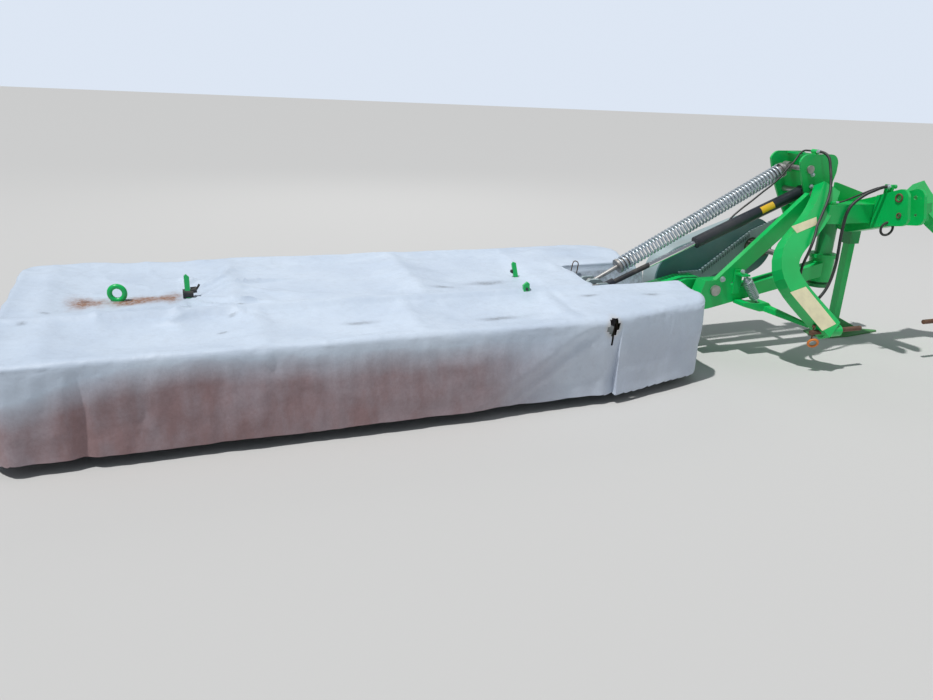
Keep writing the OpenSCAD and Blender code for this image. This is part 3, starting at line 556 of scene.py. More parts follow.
# The space of the trough that the lift rods run through, wider at its top
def troughCutter(settings):
    levels = []
    for level in ("floor", "top"):
        (x0, y0), (x1, y1), z = settings[level]
        levels.append([place(x0, y0, z), place(x1, y0, z), place(x1, y1, z), place(x0, y1, z)])
    rise = Vector((0, 0, (settings["over"] - settings["top"][2]) / 1000))
    levels.append([point + rise for point in levels[1]])
    points = [point for level in levels for point in level]
    faces = [(3, 2, 1, 0), (8, 9, 10, 11)]
    for start in (0, 4):
        for k in range(4):
            after = (k + 1) % 4
            faces.append((start + k, start + after, start + 4 + after, start + 4 + k))
    return addMesh("trough_cutter", points, faces)


def cutAway(block, cutter):
    take(block)
    modifier = block.modifiers.new("cut", "BOOLEAN")
    modifier.object = cutter
    modifier.operation = "DIFFERENCE"
    modifier.solver = "EXACT"
    applyAll(block)
    bpy.data.objects.remove(cutter)


# A block of the cover's outer form, with its trough and cut corner
def coverBlock(settings):
    length, depth = settings["length"], settings["depth"]
    block = boxPiece("cover_sheet", (0, 0, settings["low"]), (length, depth, settings["rear"]))
    take(block)
    mode("EDIT")
    bpy.ops.mesh.select_all(action="SELECT")
    bpy.ops.mesh.bisect(plane_co=place(0, settings["hinge"][0], 0), plane_no=(0, 1, 0))
    bpy.ops.mesh.select_all(action="SELECT")
    start = Vector(settings["cutFrom"])
    along = (Vector(settings["cutTo"]) - start).normalized()
    bpy.ops.mesh.bisect(plane_co=place(start.x, start.y, 0), plane_no=(along.y, -along.x, 0),
                        use_fill=True, clear_outer=True)
    mode("OBJECT")
    behind = settings["slotRear"] - 10
    shortEnd = boxPiece("cutter", (settings["rearEnd"], behind, -100), (length + 50, depth + 50, 900))
    cutAway(block, shortEnd)
    roundBlock(block, settings)
    for vertex in block.data.vertices:
        x, y, z = machine(vertex.co)
        if z > 300:
            vertex.co.z += (roofHeight(y, settings) - settings["rear"]) / 1000
    cutAway(block, troughCutter(troughSettings))
    return block


# Height of the taut roof at a depth
def roofHeight(y, settings):
    hingeY, hingeZ = settings["hinge"]
    start = settings["roofFront"]
    if y < hingeY:
        return settings["front"] + (hingeZ - settings["front"]) * max(0, y - start) / (hingeY - start)
    return hingeZ + (settings["rear"] - hingeZ) * grow(y, hingeY, settings["roofRear"] - hingeY)


# How far the sheet hangs down between its carriers
def roofDrop(x, y, settings):
    hingeY, start = settings["hinge"][0], settings["roofFront"]
    if y < hingeY:
        carriers, depth = settings["bows"], settings["frontSag"]
        share = (y - start) / (hingeY - start)
    else:
        carriers, depth = settings["ribs"], settings["rearSag"]
        share = (y - hingeY) / (settings["roofRear"] - hingeY)
    if not 0 < share < 1:
        return 0
    for near, far in zip(carriers, carriers[1:]):
        if near < x < far:
            return depth * math.sin(math.pi * (x - near) / (far - near)) * math.sin(math.pi * share)
    return 0


# Bevels the edges for which chosen(a, b) is true
def bevelEdges(piece, chosen, offset, segments):
    deselectMesh(piece, "EDGE")
    mesh = piece.data
    count = 0
    for edge in mesh.edges:
        a, b = (mesh.vertices[i].co for i in edge.vertices)
        edge.select = chosen(a, b)
        count += edge.select
    mode("EDIT")
    if count:
        bpy.ops.mesh.bevel(offset=offset, segments=segments, affect="EDGES")
    mode("OBJECT")


def upright(a, b):
    return (a - b).xy.length < 0.002 and abs(a.z - b.z) > 0.3


# The frame's metres to machine millimetres
def machine(point):
    return ((point.x - corner.x) * 1000, (point.y - corner.y) * 1000, point.z * 1000)


# Rounds the upright corners and the roof's rim
def roundBlock(block, settings):
    hingeY = settings["hinge"][0]

    def outerCorner(a, b):
        x, y, z = machine(a)
        return upright(a, b) and x < 100 and not 400 < y < 500

    def rearCorner(a, b):
        x, y, z = machine(a)
        return upright(a, b) and x > 3300 and y > 1200

    def frontCorner(a, b):
        x, y, z = machine(a)
        return upright(a, b) and x > 3300 and y < 400

    def topRim(a, b):
        ya, za = machine(a)[1:]
        yb, zb = machine(b)[1:]
        overHinge = abs(ya - hingeY) < 2 and abs(yb - hingeY) < 2
        return min(za, zb) > 400 and not overHinge

    bevelEdges(block, outerCorner, settings["corner"], 8)
    bevelEdges(block, rearCorner, settings["rearCorner"], 10)
    bevelEdges(block, frontCorner, settings["corner"], 6)
    bevelEdges(block, topRim, settings["rim"], 3)


# Distance from the torn hole's middle, 1 at its edge
def tearDistance(x, z, settings):
    (midX, midZ), (halfX, halfZ) = settings["centre"], settings["half"]
    return math.hypot((x - midX) / halfX, (z - midZ) / halfZ)


# Is a point of the front skirt inside the torn hole
def inTear(x, z, settings):
    ragged = settings["ragged"] * noise.noise(Vector((x / 22, z / 22, 5)))
    tailX, tailHalf, tailLow, tailHigh = settings["tail"]
    inTail = abs(x - tailX) < tailHalf and tailLow < z < tailHigh
    return tearDistance(x, z, settings) < 1 + ragged or inTail


# Turns the block into a sheet: no floor, open at the trough's inner end, torn at the corner
def openBelow(block, settings, trough):
    take(block)
    block.data.remesh_voxel_size = settings["voxel"]
    bpy.ops.object.voxel_remesh()
    deselectMesh(block, "FACE")
    for face in block.data.polygons:
        x, y, z = machine(face.center)
        below = z < settings["low"] + 4
        inWidth = settings["slotFront"] - 8 < y < settings["slotRear"] + 4
        endFace = x > trough["endFace"] and inWidth and z < trough["top"][2] - 4
        floorEnd = x > trough["floorEnd"] and inWidth and z < trough["floor"][2] + 12
        torn = y < 60 and inTear(x, z, tearSettings)
        face.select = below or endFace or floorEnd or torn
    mode("EDIT")
    bpy.ops.mesh.delete(type="FACE")
    mode("OBJECT")


def inTrough(x, y):
    start, front, rear = troughSettings["inside"]
    return x > start and front < y < rear


# Where the frames carry the sheet it is held, and elsewhere it can sag
def heldWeights(cover, settings):
    group = cover.vertex_groups.new(name="held")
    for vertex in cover.data.vertices:
        x, y, z = machine(vertex.co)
        lines = settings["ribs"] if y > settings["hinge"][0] else settings["bows"]
        weight = 0.0
        if inTrough(x, y):
            weight = 0.9
        elif z > 400:
            weight = max(bump1(x - line, 22) for line in lines)
            edge = min(abs(y), abs(y - settings["depth"]), abs(x), abs(x - settings["length"]))
            weight = max(weight, bump1(edge, 30) * 0.9, bump1(y - settings["hinge"][0], 16) * 0.9)
            weight = max(weight, 0.5 if x > 2600 else 0.12)
        elif z < 75:
            weight = 0.1
        group.add([vertex.index], min(1.0, weight), "REPLACE")


clothSettings = {
    "quality": 5,
    "mass": 0.05,
    "tension": 60,
    "compression": 30,
    "shear": 20,
    "bending": 3,
    "shrink": -0.002,  # a little slack, as a share
    "frames": 16,
}


# Lets the sheet hang on its frames as coated cloth
def sagCover(cover, settings):
    take(cover)
    cloth = cover.modifiers.new("cloth", "CLOTH")
    values = cloth.settings
    values.quality = settings["quality"]
    values.mass = settings["mass"]
    values.tension_stiffness = settings["tension"]
    values.compression_stiffness = settings["compression"]
    values.shear_stiffness = settings["shear"]
    values.bending_stiffness = settings["bending"]
    values.vertex_group_mass = "held"
    values.pin_stiffness = 1.0
    values.shrink_min = settings["shrink"]
    values.air_damping = 2
    scene = bpy.context.scene
    for step in range(1, settings["frames"] + 1):
        scene.frame_set(step)
    applyAll(cover)
    scene.frame_set(1)


creaseSettings = {
    "handle": (780, 735),
    "pond": (420, 640),
    "pondDepth": 14,
    "ridges": 3.2,
    "broad": 8.5,
    "star": 24.0,  # folds that run out from the handle
    "small": 2.2,
    "drape": 6.0,
    "ripple": 3.0,
}
# Folds of the front skirt; depths in metres
skirtSettings = {
    "knuckle": (402, 30, 0.004),  # height, width and depth where each bow ends
    "fold": (2650, 60, 0.018),  # place, width and depth of the fold that leans towards the outer end
    "lean": 1.45,
    "hangsBack": 0.030,
    "innerEnd": 2760,
    "crease": (345, 30, 0.020),
    "hem": (0.010, 0.006),  # how far the hem waves and how much it is raised
}


# Height of the sheet's creases and dents in millimetres
def creaseAmount(x, y, z, settings):
    seed = Vector((x / 1000, y / 1000, z / 1000))
    broad = noise.fractal(Vector((seed.x * 2.2, seed.y * 5.5, seed.z * 4)), 1.0, 2.0, 3)
    height = settings["broad"] * broad
    if z > 440:
        # folds that run out from the handle's foot
        handleX, handleY = settings["handle"]
        angle = math.atan2(y - handleY, (x - handleX) * 0.8)
        reach = math.hypot(x - handleX, y - handleY)
        fade = bump1(reach - 300, 240)
        sharp = 1 - abs(math.sin(angle * 5.5 + 1.6 * broad))
        height += settings["star"] * (sharp ** 2 - 0.3) * fade
        # soft ridges along the bar
        waver = 1.8 * noise.noise(Vector((seed.x * 1.5, 0.3, 0)))
        height += settings["ridges"] * math.sin(y / 34 + waver) * (0.35 + 0.65 * (x / 3410))
        # a sunk place where water stands
        pondX, pondY = settings["pond"]
        pond = bump1((x - pondX) / 1.9 - (y - pondY) * 0.55, 110) * bump1(y - pondY, 120)
        height -= settings["pondDepth"] * pond
        # small sharp creases
        crease = 1 - abs(noise.noise(Vector((seed.x * 6, seed.y * 13, 2.2)))) * 2
        height += settings["small"] * max(0, crease - 0.72) / 0.28
    else:
        # upright drapes in the skirt
        drape = noise.noise(Vector((seed.x * 4.2 + 3, seed.y * 4.2, 0.4)))
        height += settings["drape"] * drape * grow(z, 460, -260)
        height += settings["ripple"] * noise.noise(Vector((seed.x * 11, seed.y * 11, 1.4 + z / 900)))
    return height


# Shape of the front skirt: knuckles of the bows, folds and the inner stretch that hangs back
def skirtShift(x, z, bows, settings):
    inward = 0.0
    height, width, depth = settings["knuckle"]
    for line in bows:
        inward -= depth * bump1(x - line, width) * bump1(z - height, width)
    low = grow(z, 440, -90)
    foldStart, width, depth = settings["fold"]
    foldX = foldStart - (430 - z) * settings["lean"]
    inward += depth * bump1(x - foldX, width) * low
    back = grow(x, foldX, 120) * grow(z, 440, -300)
    inward += settings["hangsBack"] * back * (x < settings["innerEnd"])
    creaseX, width, depth = settings["crease"]
    inward += depth * bump1(x - creaseX, width) * grow(z, 430, -120)
    return inward


# Adds creases, the hinge line's ridge, the inner end's fold and a wavy hem
def creaseCover(cover, settings, creases, skirt):
    mesh = cover.data
    waves, raised = skirt["hem"]
    moves = []
    for vertex in mesh.vertices:
        x, y, z = machine(vertex.co)
        shift = vertex.normal * creaseAmount(x, y, z, creases) / 1000
        if inTrough(x, y):
            shift *= 0.8
        elif z > 440:
            shift.z -= roofDrop(x, y, settings) / 1000
            shift.z += 0.012 * bump1(y - settings["hinge"][0], 15) * (30 < x < 2880)
        if y < 60:
            shift.y += skirtShift(x, z, settings["bows"], skirt)
        if z < 120:
            wave = noise.noise(Vector((x / 260, y / 260, 3.3)))
            shift.z += (waves * wave + raised) * (1 - (z - settings["low"]) / 75)
        moves.append(shift)
    for vertex, shift in zip(mesh.vertices, moves):
        vertex.co += shift


# Keeps the sheet over the ribs and bows, and in front of the rail
def liftOffFrames(cover, settings):
    for vertex in cover.data.vertices:
        x, y, z = machine(vertex.co)
        if inTrough(x, y):
            continue
        if z > 430 and 45 < y < 1235 and x > 60:
            lines = settings["ribs"] if y > settings["hinge"][0] else settings["bows"]
            near = max(bump1(x - line, 75) for line in lines)
            # 2 below the taut roof on a frame, and at most 30 away from one
            lowest = roofHeight(y, settings) - 30 + 28 * near
            away = abs(y - settings["hinge"][0])
            if away < 30 and x < 2880:
                lowest = max(lowest, settings["hinge"][1] + 11 - 0.5 * max(0, away - 10))
            vertex.co.z = max(vertex.co.z, lowest / 1000)
        if y < 80 and 370 < z < 425 and x < 2690:
            vertex.co.y = min(vertex.co.y, place(0, 16, 0).y)
        vertex.co.y = max(vertex.co.y, place(0, -18, 0).y)


dirtSettings = {
    "soilTop": 436,  # height up to which soil clings to the front skirt
    "soilOuter": (520, 120),  # outwards of this place it reaches less high, by up to this much
    "soilInner": (1900, 0.86),  # inwards of this place it fades, by up to this share
    "soilRear": 240,
    "stain": {"from": (330, 700), "to": (690, 738), "width": 50},
    "smudges": ((2300, 690, 90, 28), (2180, 190, 110, 20), (3080, 270, 50, 12), (2050, 640, 60, 16),
                (2750, 330, 42, 12), (1500, 250, 70, 14)),
    "slits": ((330, 745), (1040, 600), (1010, 520), (960, 420), (905, 240), (190, 560), (120, 430),
              (700, 560)),
}


# Stores soil, stain and frayed edge masks on the sheet, and one mask for smudges and for the painted shade in
# the slits, dents and trough
def markDirt(cover, settings, tear):
    mesh = cover.data
    marks = mesh.color_attributes.new("marks", "FLOAT_COLOR", "POINT")
    start = Vector(settings["stain"]["from"])
    end = Vector(settings["stain"]["to"])
    outerX, lower = settings["soilOuter"]
    innerX, faded = settings["soilInner"]
    for vertex in mesh.vertices:
        x, y, z = machine(vertex.co)
        wobble = noise.fractal(vertex.co * 9, 1.0, 2.1, 5)
        soil = 0.0
        if z < 445 and y < 420:
            waver = noise.noise(Vector((x / 310, y / 310, 7.1)))
            rise = settings["soilTop"] - 0.02 * x + 30 * waver + 12 * wobble - lower * grow(x, outerX, -400)
            fade = 1.0 - faded * grow(x, innerX, 600)
            soil = grow(z, rise, -120) ** 0.7 * fade
            soil *= 0.88 + 0.16 * waver + 0.16 * min(1, (430 - z) / 300)
        elif z < 320:
            soil = grow(z, settings["soilRear"] + 60 * wobble, -110) * 0.8
        spot = Vector((x, y))
        share = min(1, max(0, (spot - start).dot(end - start) / (end - start).length_squared))
        away = (spot - start.lerp(end, share)).length
        brown = 0.0
        smudgeAndShadeAmount = 0.0
        if z > 430:
            brown = bump1(away, settings["stain"]["width"] * (1 + 0.6 * wobble)) * (1.25 + 0.9 * wobble)
            for px, py, wide, deep in settings["smudges"]:
                across = bump1((y - py) / deep + wobble, 1)
                smudgeAndShadeAmount = max(smudgeAndShadeAmount, bump1((x - px) / wide + 0.5 * wobble, 1) * across)
            # painted shade: dark marks where slits and dents in the sheet hold shade
            for px, py in settings["slits"]:
                smudgeAndShadeAmount = max(smudgeAndShadeAmount, 1.6 * bump1((x - px) / 16, 1) * bump1((y - py) / 7, 1))
        # painted shade: the inside of the trough is darkened
        if inTrough(x, y) and z < 480:
            smudgeAndShadeAmount = max(smudgeAndShadeAmount, 0.75 + 0.5 * wobble)
        frayed = bump1(max(0, tearDistance(x, z, tear) - 1), 0.35) if y < 60 else 0
        marks.data[vertex.index].color = (max(0, soil), max(0, min(1, brown)), max(0, min(1, smudgeAndShadeAmount)), frayed)


# Coated cloth: fine weave, creases, soil on the skirt, stains on top and painted shade in the slits, dents
# and the trough
def coverMaterial():
    material, tree, shader = newMaterial("coverCloth")
    marks = addNode(tree, "Attribute", attribute_name="marks")
    split = addNode(tree, "SeparateColor")
    tree.links.new(marks.outputs["Color"], split.inputs[0])
    soil, stain, smudgeAndShade = split.outputs[0], split.outputs[1], split.outputs[2]
    tone = ramp(tree, noiseOf(tree, 2.6, 6, 0.6), 0.3, 0.72)
    base = mixColour(tree, tone, (0.66, 0.75, 0.86), (0.58, 0.67, 0.79))
    mottle = ramp(tree, noiseOf(tree, 26, 7, 0.7), 0.45, 0.75)
    base = mixColour(tree, times(tree, mottle, 0.18), base, (0.42, 0.45, 0.50))
    fine = ramp(tree, noiseOf(tree, 60, 6, 0.75), 0.36, 0.66)
    streak = ramp(tree, noiseOf(tree, 4, 5, 0.6, stretch=(2.0, 2.0, 0.9)), 0.3, 0.7)
    soilMask = times(tree, soil, plus(tree, 0.80, times(tree, streak, 0.20)), True)
    base = mixColour(tree, soilMask, base, (0.33, 0.215, 0.22))
    soilFine = times(tree, soilMask, times(tree, fine, 0.25))
    base = mixColour(tree, soilFine, base, (0.19, 0.12, 0.12))
    stainMask = times(tree, stain, plus(tree, 0.6, times(tree, fine, 0.6)), True)
    base = mixColour(tree, stainMask, base, (0.30, 0.15, 0.085))
    # smudges, and painted shade in the slits, dents and the trough
    smudgeAndShadeMask = times(tree, smudgeAndShade, plus(tree, 0.5, times(tree, fine, 0.5)), True)
    base = mixColour(tree, times(tree, smudgeAndShadeMask, 0.75), base, (0.12, 0.125, 0.135))
    base = mixColour(tree, times(tree, marks.outputs["Alpha"], 0.7), base, (0.62, 0.60, 0.56))
    feed(shader, "Base Color", base)
    dirt = higher(tree, soilMask, stainMask)
    feed(shader, "Roughness", plus(tree, times(tree, dirt, 0.3), 0.48, True))
    shader.inputs["Sheen Weight"].default_value = 0.08
    shader.inputs["Specular IOR Level"].default_value = 0.45
    # a plain weave that shows through the coating
    coordinates = addNode(tree, "TexCoord").outputs["Object"]
    threads = []
    for direction in ("X", "Y"):
        wave = addNode(tree, "TexWave", wave_type="BANDS", bands_direction=direction)
        tree.links.new(coordinates, wave.inputs["Vector"])
        wave.inputs["Scale"].default_value = 120
        threads.append(wave.outputs["Fac"])
    weave = times(tree, plus(tree, threads[0], threads[1]), 0.12)
    wrinkles = times(tree, noiseOf(tree, 14, 7, 0.62, stretch=(1, 1.6, 1)), 4.0)
    height = plus(tree, weave, plus(tree, wrinkles, times(tree, dirt, 0.6)))
    bumpFrom(tree, shader, height, 0.45, 0.0022)
    return material


def makeCover(settings):
    cover = coverBlock(settings)
    openBelow(cover, settings, troughSettings)
    heldWeights(cover, settings)
    sagCover(cover, clothSettings)
    creaseCover(cover, settings, creaseSettings, skirtSettings)
    liftOffFrames(cover, settings)
    cover.vertex_groups.clear()
    markDirt(cover, dirtSettings, tearSettings)
    cover.data.materials.append(coverMaterial())
    thick = cover.modifiers.new("wall", "SOLIDIFY")
    thick.thickness = 0.003
    thick.offset = -1
    applyAll(cover)
    smooth(cover, 60)
    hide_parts("cover_rear", "cover_front")
    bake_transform(cover)
    return cover


makeCover(coverSettings)
print("cover made")

# Balance spring: round wire wound by a screw
springSettings = {"top": (4290, 1105), "eye": (2985, 440), "plane": 745, "start": 60, "end": 1259.7,
                  "radius": 40, "wire": 6.5, "turns": 50}


# A coil along direction from first, in metres
def windCoil(name, first, direction, length, turns, radius, wire, steps):
    bpy.ops.mesh.primitive_circle_add(vertices=10, radius=wire, location=(radius, 0, 0),
                                      rotation=(math.pi / 2, 0, 0))
    coil = settle(bpy.context.object, name)
    screw = coil.modifiers.new("wind", "SCREW")
    screw.screw_offset = length / turns
    screw.iterations = turns
    screw.steps = steps
    screw.render_steps = steps
    screw.use_merge_vertices = False
    screw.use_smooth_shade = True
    applyAll(coil)
    aim(coil, direction)
    coil.location = first
    coil = settle(coil, name)
    faceOutwards(coil)
    coil.data.materials.append(zincSteel)
    return coil


def makeBalanceSpring(settings):
    top = place(settings["top"][0], settings["plane"], settings["top"][1])
    eye = place(settings["eye"][0], settings["plane"], settings["eye"][1])
    direction = (eye - top).normalized()
    first = top + direction * (settings["start"] + settings["wire"]) / 1000
    length = (settings["end"] - settings["start"] - 2 * settings["wire"]) / 1000
    coil = windCoil("balance_coil", first, direction, length, settings["turns"],
                    settings["radius"] / 1000, settings["wire"] / 1000, 20)
    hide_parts("balance_spring")
    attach(coil, "spring_unit")
    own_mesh(coil)


makeBalanceSpring(springSettings)
print("springs wound")

# Small pieces, placed in machine millimetres


# A round bar from a to b, as wide at b as endRadius says
def rod(a, b, radius, material, sides=20, endRadius=None):
    start, end = place(*a), place(*b)
    axis = end - start
    far = radius if endRadius is None else endRadius
    bpy.ops.mesh.primitive_cone_add(vertices=sides, radius1=radius / 1000, radius2=far / 1000,
                                    depth=axis.length, location=(start + end) / 2)
    piece = bpy.context.object
    aim(piece, axis)
    piece = settle(piece, "rod")
    piece.data.materials.append(material)
    return piece


# A ring of round section about a centre, with its axis along direction
def ringAt(centre, direction, radius, thick, material):
    bpy.ops.mesh.primitive_torus_add(major_radius=radius / 1000, minor_radius=thick / 1000, major_segments=36,
                                     minor_segments=12, location=place(*centre))
    piece = bpy.context.object
    aim(piece, Vector(direction))
    piece = settle(piece, "ring")
    piece.data.materials.append(material)
    return piece


# A plate from its outline's points, thick along its own normal
def plate(points, thick, material, away=None):
    rim = [place(*point) for point in points]
    normal = (rim[1] - rim[0]).cross(rim[2] - rim[0]).normalized()
    if away and normal.dot(Vector(away)) < 0:
        normal = -normal
    count = len(rim)
    far = [point + normal * thick / 1000 for point in rim]
    faces = [tuple(range(count)), tuple(range(2 * count - 1, count - 1, -1))]
    for k in range(count):
        after = (k + 1) % count
        faces.append((k, count + k, count + after, after))
    piece = addMesh("plate", rim + far, faces)
    faceOutwards(piece)
    piece.data.materials.append(material)
    return piece


# A smooth curve through points, with a round section
def curveThrough(name, points, radius):
    curve = bpy.data.curves.new(name, "CURVE")
    curve.dimensions = "3D"
    curve.bevel_depth = radius / 1000
    curve.bevel_resolution = 4
    curve.resolution_u = 6
    curve.use_fill_caps = True
    spline = curve.splines.new("BEZIER")
    spline.bezier_points.add(len(points) - 1)
    for knot, point in zip(spline.bezier_points, points):
        knot.co = place(*point)
        knot.handle_left_type = "AUTO"
        knot.handle_right_type = "AUTO"
    piece = bpy.data.objects.new(name, curve)
    bpy.context.collection.objects.link(piece)
    return piece


def pipe(points, radius, material):
    piece = curveThrough("pipe", points, radius)
    take(piece)
    bpy.ops.object.convert(target="MESH")
    piece = bpy.context.object
    piece.data.materials.clear()
    piece.data.materials.append(material)
    return piece


# Makes one piece of several and lets it ride a body
def gather(name, pieces, body, angle=35):
    nothingSelected()
    for piece in pieces:
        piece.select_set(True)
    bpy.context.view_layer.objects.active = pieces[0]
    if len(pieces) > 1:
        bpy.ops.object.join()
    whole = bpy.context.object
    whole.name = name
    smooth(whole, angle)
    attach(whole, body)
    return whole


# Washer, hexagon and thread end from a face outwards
def bolt(spot, direction, size, material, thread=0.4):
    ahead = Vector(direction).normalized()
    at = Vector(spot)

    def step(distance):
        return tuple(at + ahead * distance)

    return [
        rod(step(-1), step(0.2 * size), size * 1.15, material, 24),
        rod(step(0.2 * size), step(0.9 * size), size * 0.92, material, 6),
        rod(step(0.9 * size), step(0.9 * size + thread * size), size * 0.5, material, 14),
    ]


hoseSettings = {
    "hitchX": 4705,  # the headstock's middle, from which x is counted
    "hose_crown": {"radius": 8, "route": (
        (-357, 584, 1206), (-357, 556, 1206), (-354, 528, 1200), (-350, 504, 1184), (-351, 486, 1160),
        (-355, 470, 1128), (-363, 448, 1088), (-373, 428, 1048), (-389, 406, 1008), (-407, 390, 970),
        (-431, 374, 930), (-459, 358, 892), (-487, 344, 852), (-515, 328, 816), (-541, 304, 780),
        (-567, 284, 742), (-585, 276, 704), (-595, 278, 664), (-599, 288, 624), (-597, 300, 584),
        (-589, 310, 546), (-579, 322, 510), (-575, 332, 476), (-579, 334, 446), (-589, 324, 420),
        (-601, 302, 405), (-607, 280, 402), (-607, 262, 402))},
    "hose_drop": {"radius": 9, "route": (
        (-65, 296, 1036), (-91, 296, 1036), (-119, 302, 1029), (-151, 314, 1013), (-185, 328, 994),
        (-217, 338, 970), (-249, 345, 942), (-273, 349, 912), (-287, 350, 878), (-293, 350, 840),
        (-296, 350, 800), (-297, 350, 760), (-296, 350, 720), (-294, 350, 680), (-292, 350, 640),
        (-291, 350, 600), (-293, 350, 560), (-298, 350, 520), (-307, 350, 480), (-321, 350, 440),
        (-343, 350, 402), (-371, 350, 370), (-401, 347, 342), (-433, 338, 320), (-463, 320, 304),
        (-489, 294, 298), (-505, 262, 297), (-509, 236, 297), (-509, 214, 297))},
    "hose_arm": {"radius": 5, "route": (
        (-361, 378, 938), (-339, 378, 938), (-311, 378, 942), (-283, 378, 949), (-255, 376, 959),
        (-227, 370, 971), (-199, 361, 985), (-171, 351, 999), (-143, 341, 1012), (-115, 330, 1024),
        (-89, 324, 1030), (-65, 324, 1030))},
}


# A hydraulic hose with a crimped ferrule and a nut at each end
def makeHose(name, settings, hitchX):
    route = [(hitchX + x, y, z) for x, y, z in settings["route"]]
    radius = settings["radius"]
    hose = curveThrough(name + "_line", route, radius)
    hose.data.materials.append(hoseRubber)
    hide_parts(name)
    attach(hose, "headstock")
    ends = []
    for first, second in ((route[0], route[1]), (route[-1], route[-2])):
        start = Vector(first)
        ahead = (Vector(second) - start).normalized()
        ends.append(rod(tuple(start + ahead * 0.3), tuple(start + ahead * 7), radius * 1.7, zincSteel, 6))
        ends.append(rod(tuple(start + ahead * 7), tuple(start + ahead * 22), radius * 1.25, zincSteel, 20))
    gather(name + "_ends", ends, "headstock")


for hoseName in ("hose_crown", "hose_drop", "hose_arm"):
    makeHose(hoseName, hoseSettings[hoseName], hoseSettings["hitchX"])
print("hoses laid")

latchSettings = {
    "foot": (3983, 331),
    "head": (3852, 511),
    "plane": 470,
    "rod": 7,
    "coil": 27,
    "wire": 3.4,
    "turns": 10,
    "from": 43,  # where the coil starts and ends, from the foot
    "to": 176,
    "turned": (  # start, end, radius, sides and end radius along the rod
        (36, 43, 25, 24, 25),
        (176, 183, 25, 24, 21),
        (183, 196, 18, 24, 13),
        (238, 252, 12.5, 6, 12.5),
    ),
}


# Spring of the latch: rod with washers, a coil and a nut
def makeLatchSpring(settings):
    foot = Vector((settings["foot"][0], settings["plane"], settings["foot"][1]))
    head = Vector((settings["head"][0], settings["plane"], settings["head"][1]))
    ahead = (head - foot).normalized()

    def step(distance):
        return tuple(foot + ahead * distance)

    wire = settings["wire"]
    start, end = settings["from"] + wire, settings["to"] - wire
    direction = (place(*head) - place(*foot)).normalized()
    coil = windCoil("latch_coil", place(*step(start)), direction, (end - start) / 1000, settings["turns"],
                    settings["coil"] / 1000, wire / 1000, 18)
    pieces = [coil, rod(step(1), step(257), settings["rod"], zincSteel)]
    for first, last, radius, sides, endRadius in settings["turned"]:
        pieces.append(rod(step(first), step(last), radius, zincSteel, sides, endRadius))
    whole = gather("latch_spring_unit", pieces, "swing_frame")
    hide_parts("latch_spring")


makeLatchSpring(latchSettings)

stickerSettings = {
    "middle": 4705,
    "foot": (120, 245),  # depth and height of the link pin, about which the leg leans
    "lean": 25,
    "face": -40.6,  # the leg's front face, from its middle plane
    "thick": 0.6,
    "corners": (
        ((-691, 854), (-499, 905), (-503, 859), (-658, 814)),
        ((-768, 479), (-651, 505), (-471, 279), (-580, 247)),
    ),
}


# Turns a sticker's corner into a point of the leaning leg's front face
def legPoint(across, height, settings):
    lean = math.radians(settings["lean"])
    footY, footZ = settings["foot"]
    depth = settings["face"]
    return (settings["middle"] + across,
            footY + depth * math.cos(lean) + (height - footZ) * math.sin(lean),
            footZ - depth * math.sin(lean) + (height - footZ) * math.cos(lean))


# Blank stickers on the near leg
def makeLegStickers(settings):
    pieces = []
    for corners in settings["corners"]:
        points = [legPoint(across, height, settings) for across, height in corners]
        pieces.append(plate(points, settings["thick"], creamSticker, (0, -1, 0)))
    gather("leg_stickers", pieces, "headstock")


makeLegStickers(stickerSettings)

labelSettings = {
    "top": (4350, 655, 965),  # the cylinder's two pins
    "eye": (2985, 655, 420),
    "from": 232,
    "to": 326,
    "radius": 35.5,
    "half": 36,  # half its width round the cylinder, in degrees
}


# Blank label round the lift cylinder
def makeBarrelLabel(settings):
    top = Vector(settings["top"])
    eye = Vector(settings["eye"])
    axis = (eye - top).normalized()
    middle = top + axis * (settings["from"] + settings["to"]) / 2
    towards = Vector(cameraSettings["place"]) - middle
    outward = (towards - axis * towards.dot(axis)).normalized()
    sideways = axis.cross(outward)
    points = []
    faces = []
    steps = 12
    for distance in (settings["from"], settings["to"]):
        for radius in (settings["radius"] - 0.4, settings["radius"]):
            for k in range(steps + 1):
                angle = math.radians(settings["half"] * (2 * k / steps - 1))
                away = outward * math.cos(angle) + sideways * math.sin(angle)
                points.append(place(*(top + axis * distance + away * radius)))
    row = steps + 1
    for k in range(steps):
        faces.append((row + k, row + k + 1, 3 * row + k + 1, 3 * row + k))
        faces.append((k, 2 * row + k, 2 * row + k + 1, k + 1))
        faces.append((k, k + 1, row + k + 1, row + k))
        faces.append((2 * row + k, 3 * row + k, 3 * row + k + 1, 2 * row + k + 1))
    faces.append((0, row, 3 * row, 2 * row))
    faces.append((steps, 2 * row + steps, 3 * row + steps, row + steps))
    label = addMesh("barrel_label", points, faces)
    label.data.materials.append(yellowSticker)
    gather("barrel_label", [label], "cylinder_barrel", 60)


makeBarrelLabel(labelSettings)

lineSettings = {
    "line": ((3861, 690, 776), (3876, 694, 797), (3924, 693, 841), (4022, 690, 912), (4087, 687, 962),
             (4143, 684, 1003), (4196, 683, 1052), (4249, 684, 1110), (4275, 686, 1133),
             (4300, 688, 1162), (4318, 687, 1189), (4334, 680, 1203), (4344, 662, 1206), (4348, 629, 1206)),
    "radius": 5.5,
    "port": ((3861, 685, 772), (3861, 696, 777), 13),
}


# Pipe from the cylinder's port up to the fitting on the crown, with the port's block
def makeLiftLine(settings):
    line = pipe(settings["line"], settings["radius"], hoseRubber)
    line.name = "lift_line"
    smooth(line, 60)
    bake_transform(line)
    gather("barrel_port", [rod(*settings["port"], zincSteel, 6)], "cylinder_barrel")


makeLiftLine(lineSettings)
print("labels and lines made")

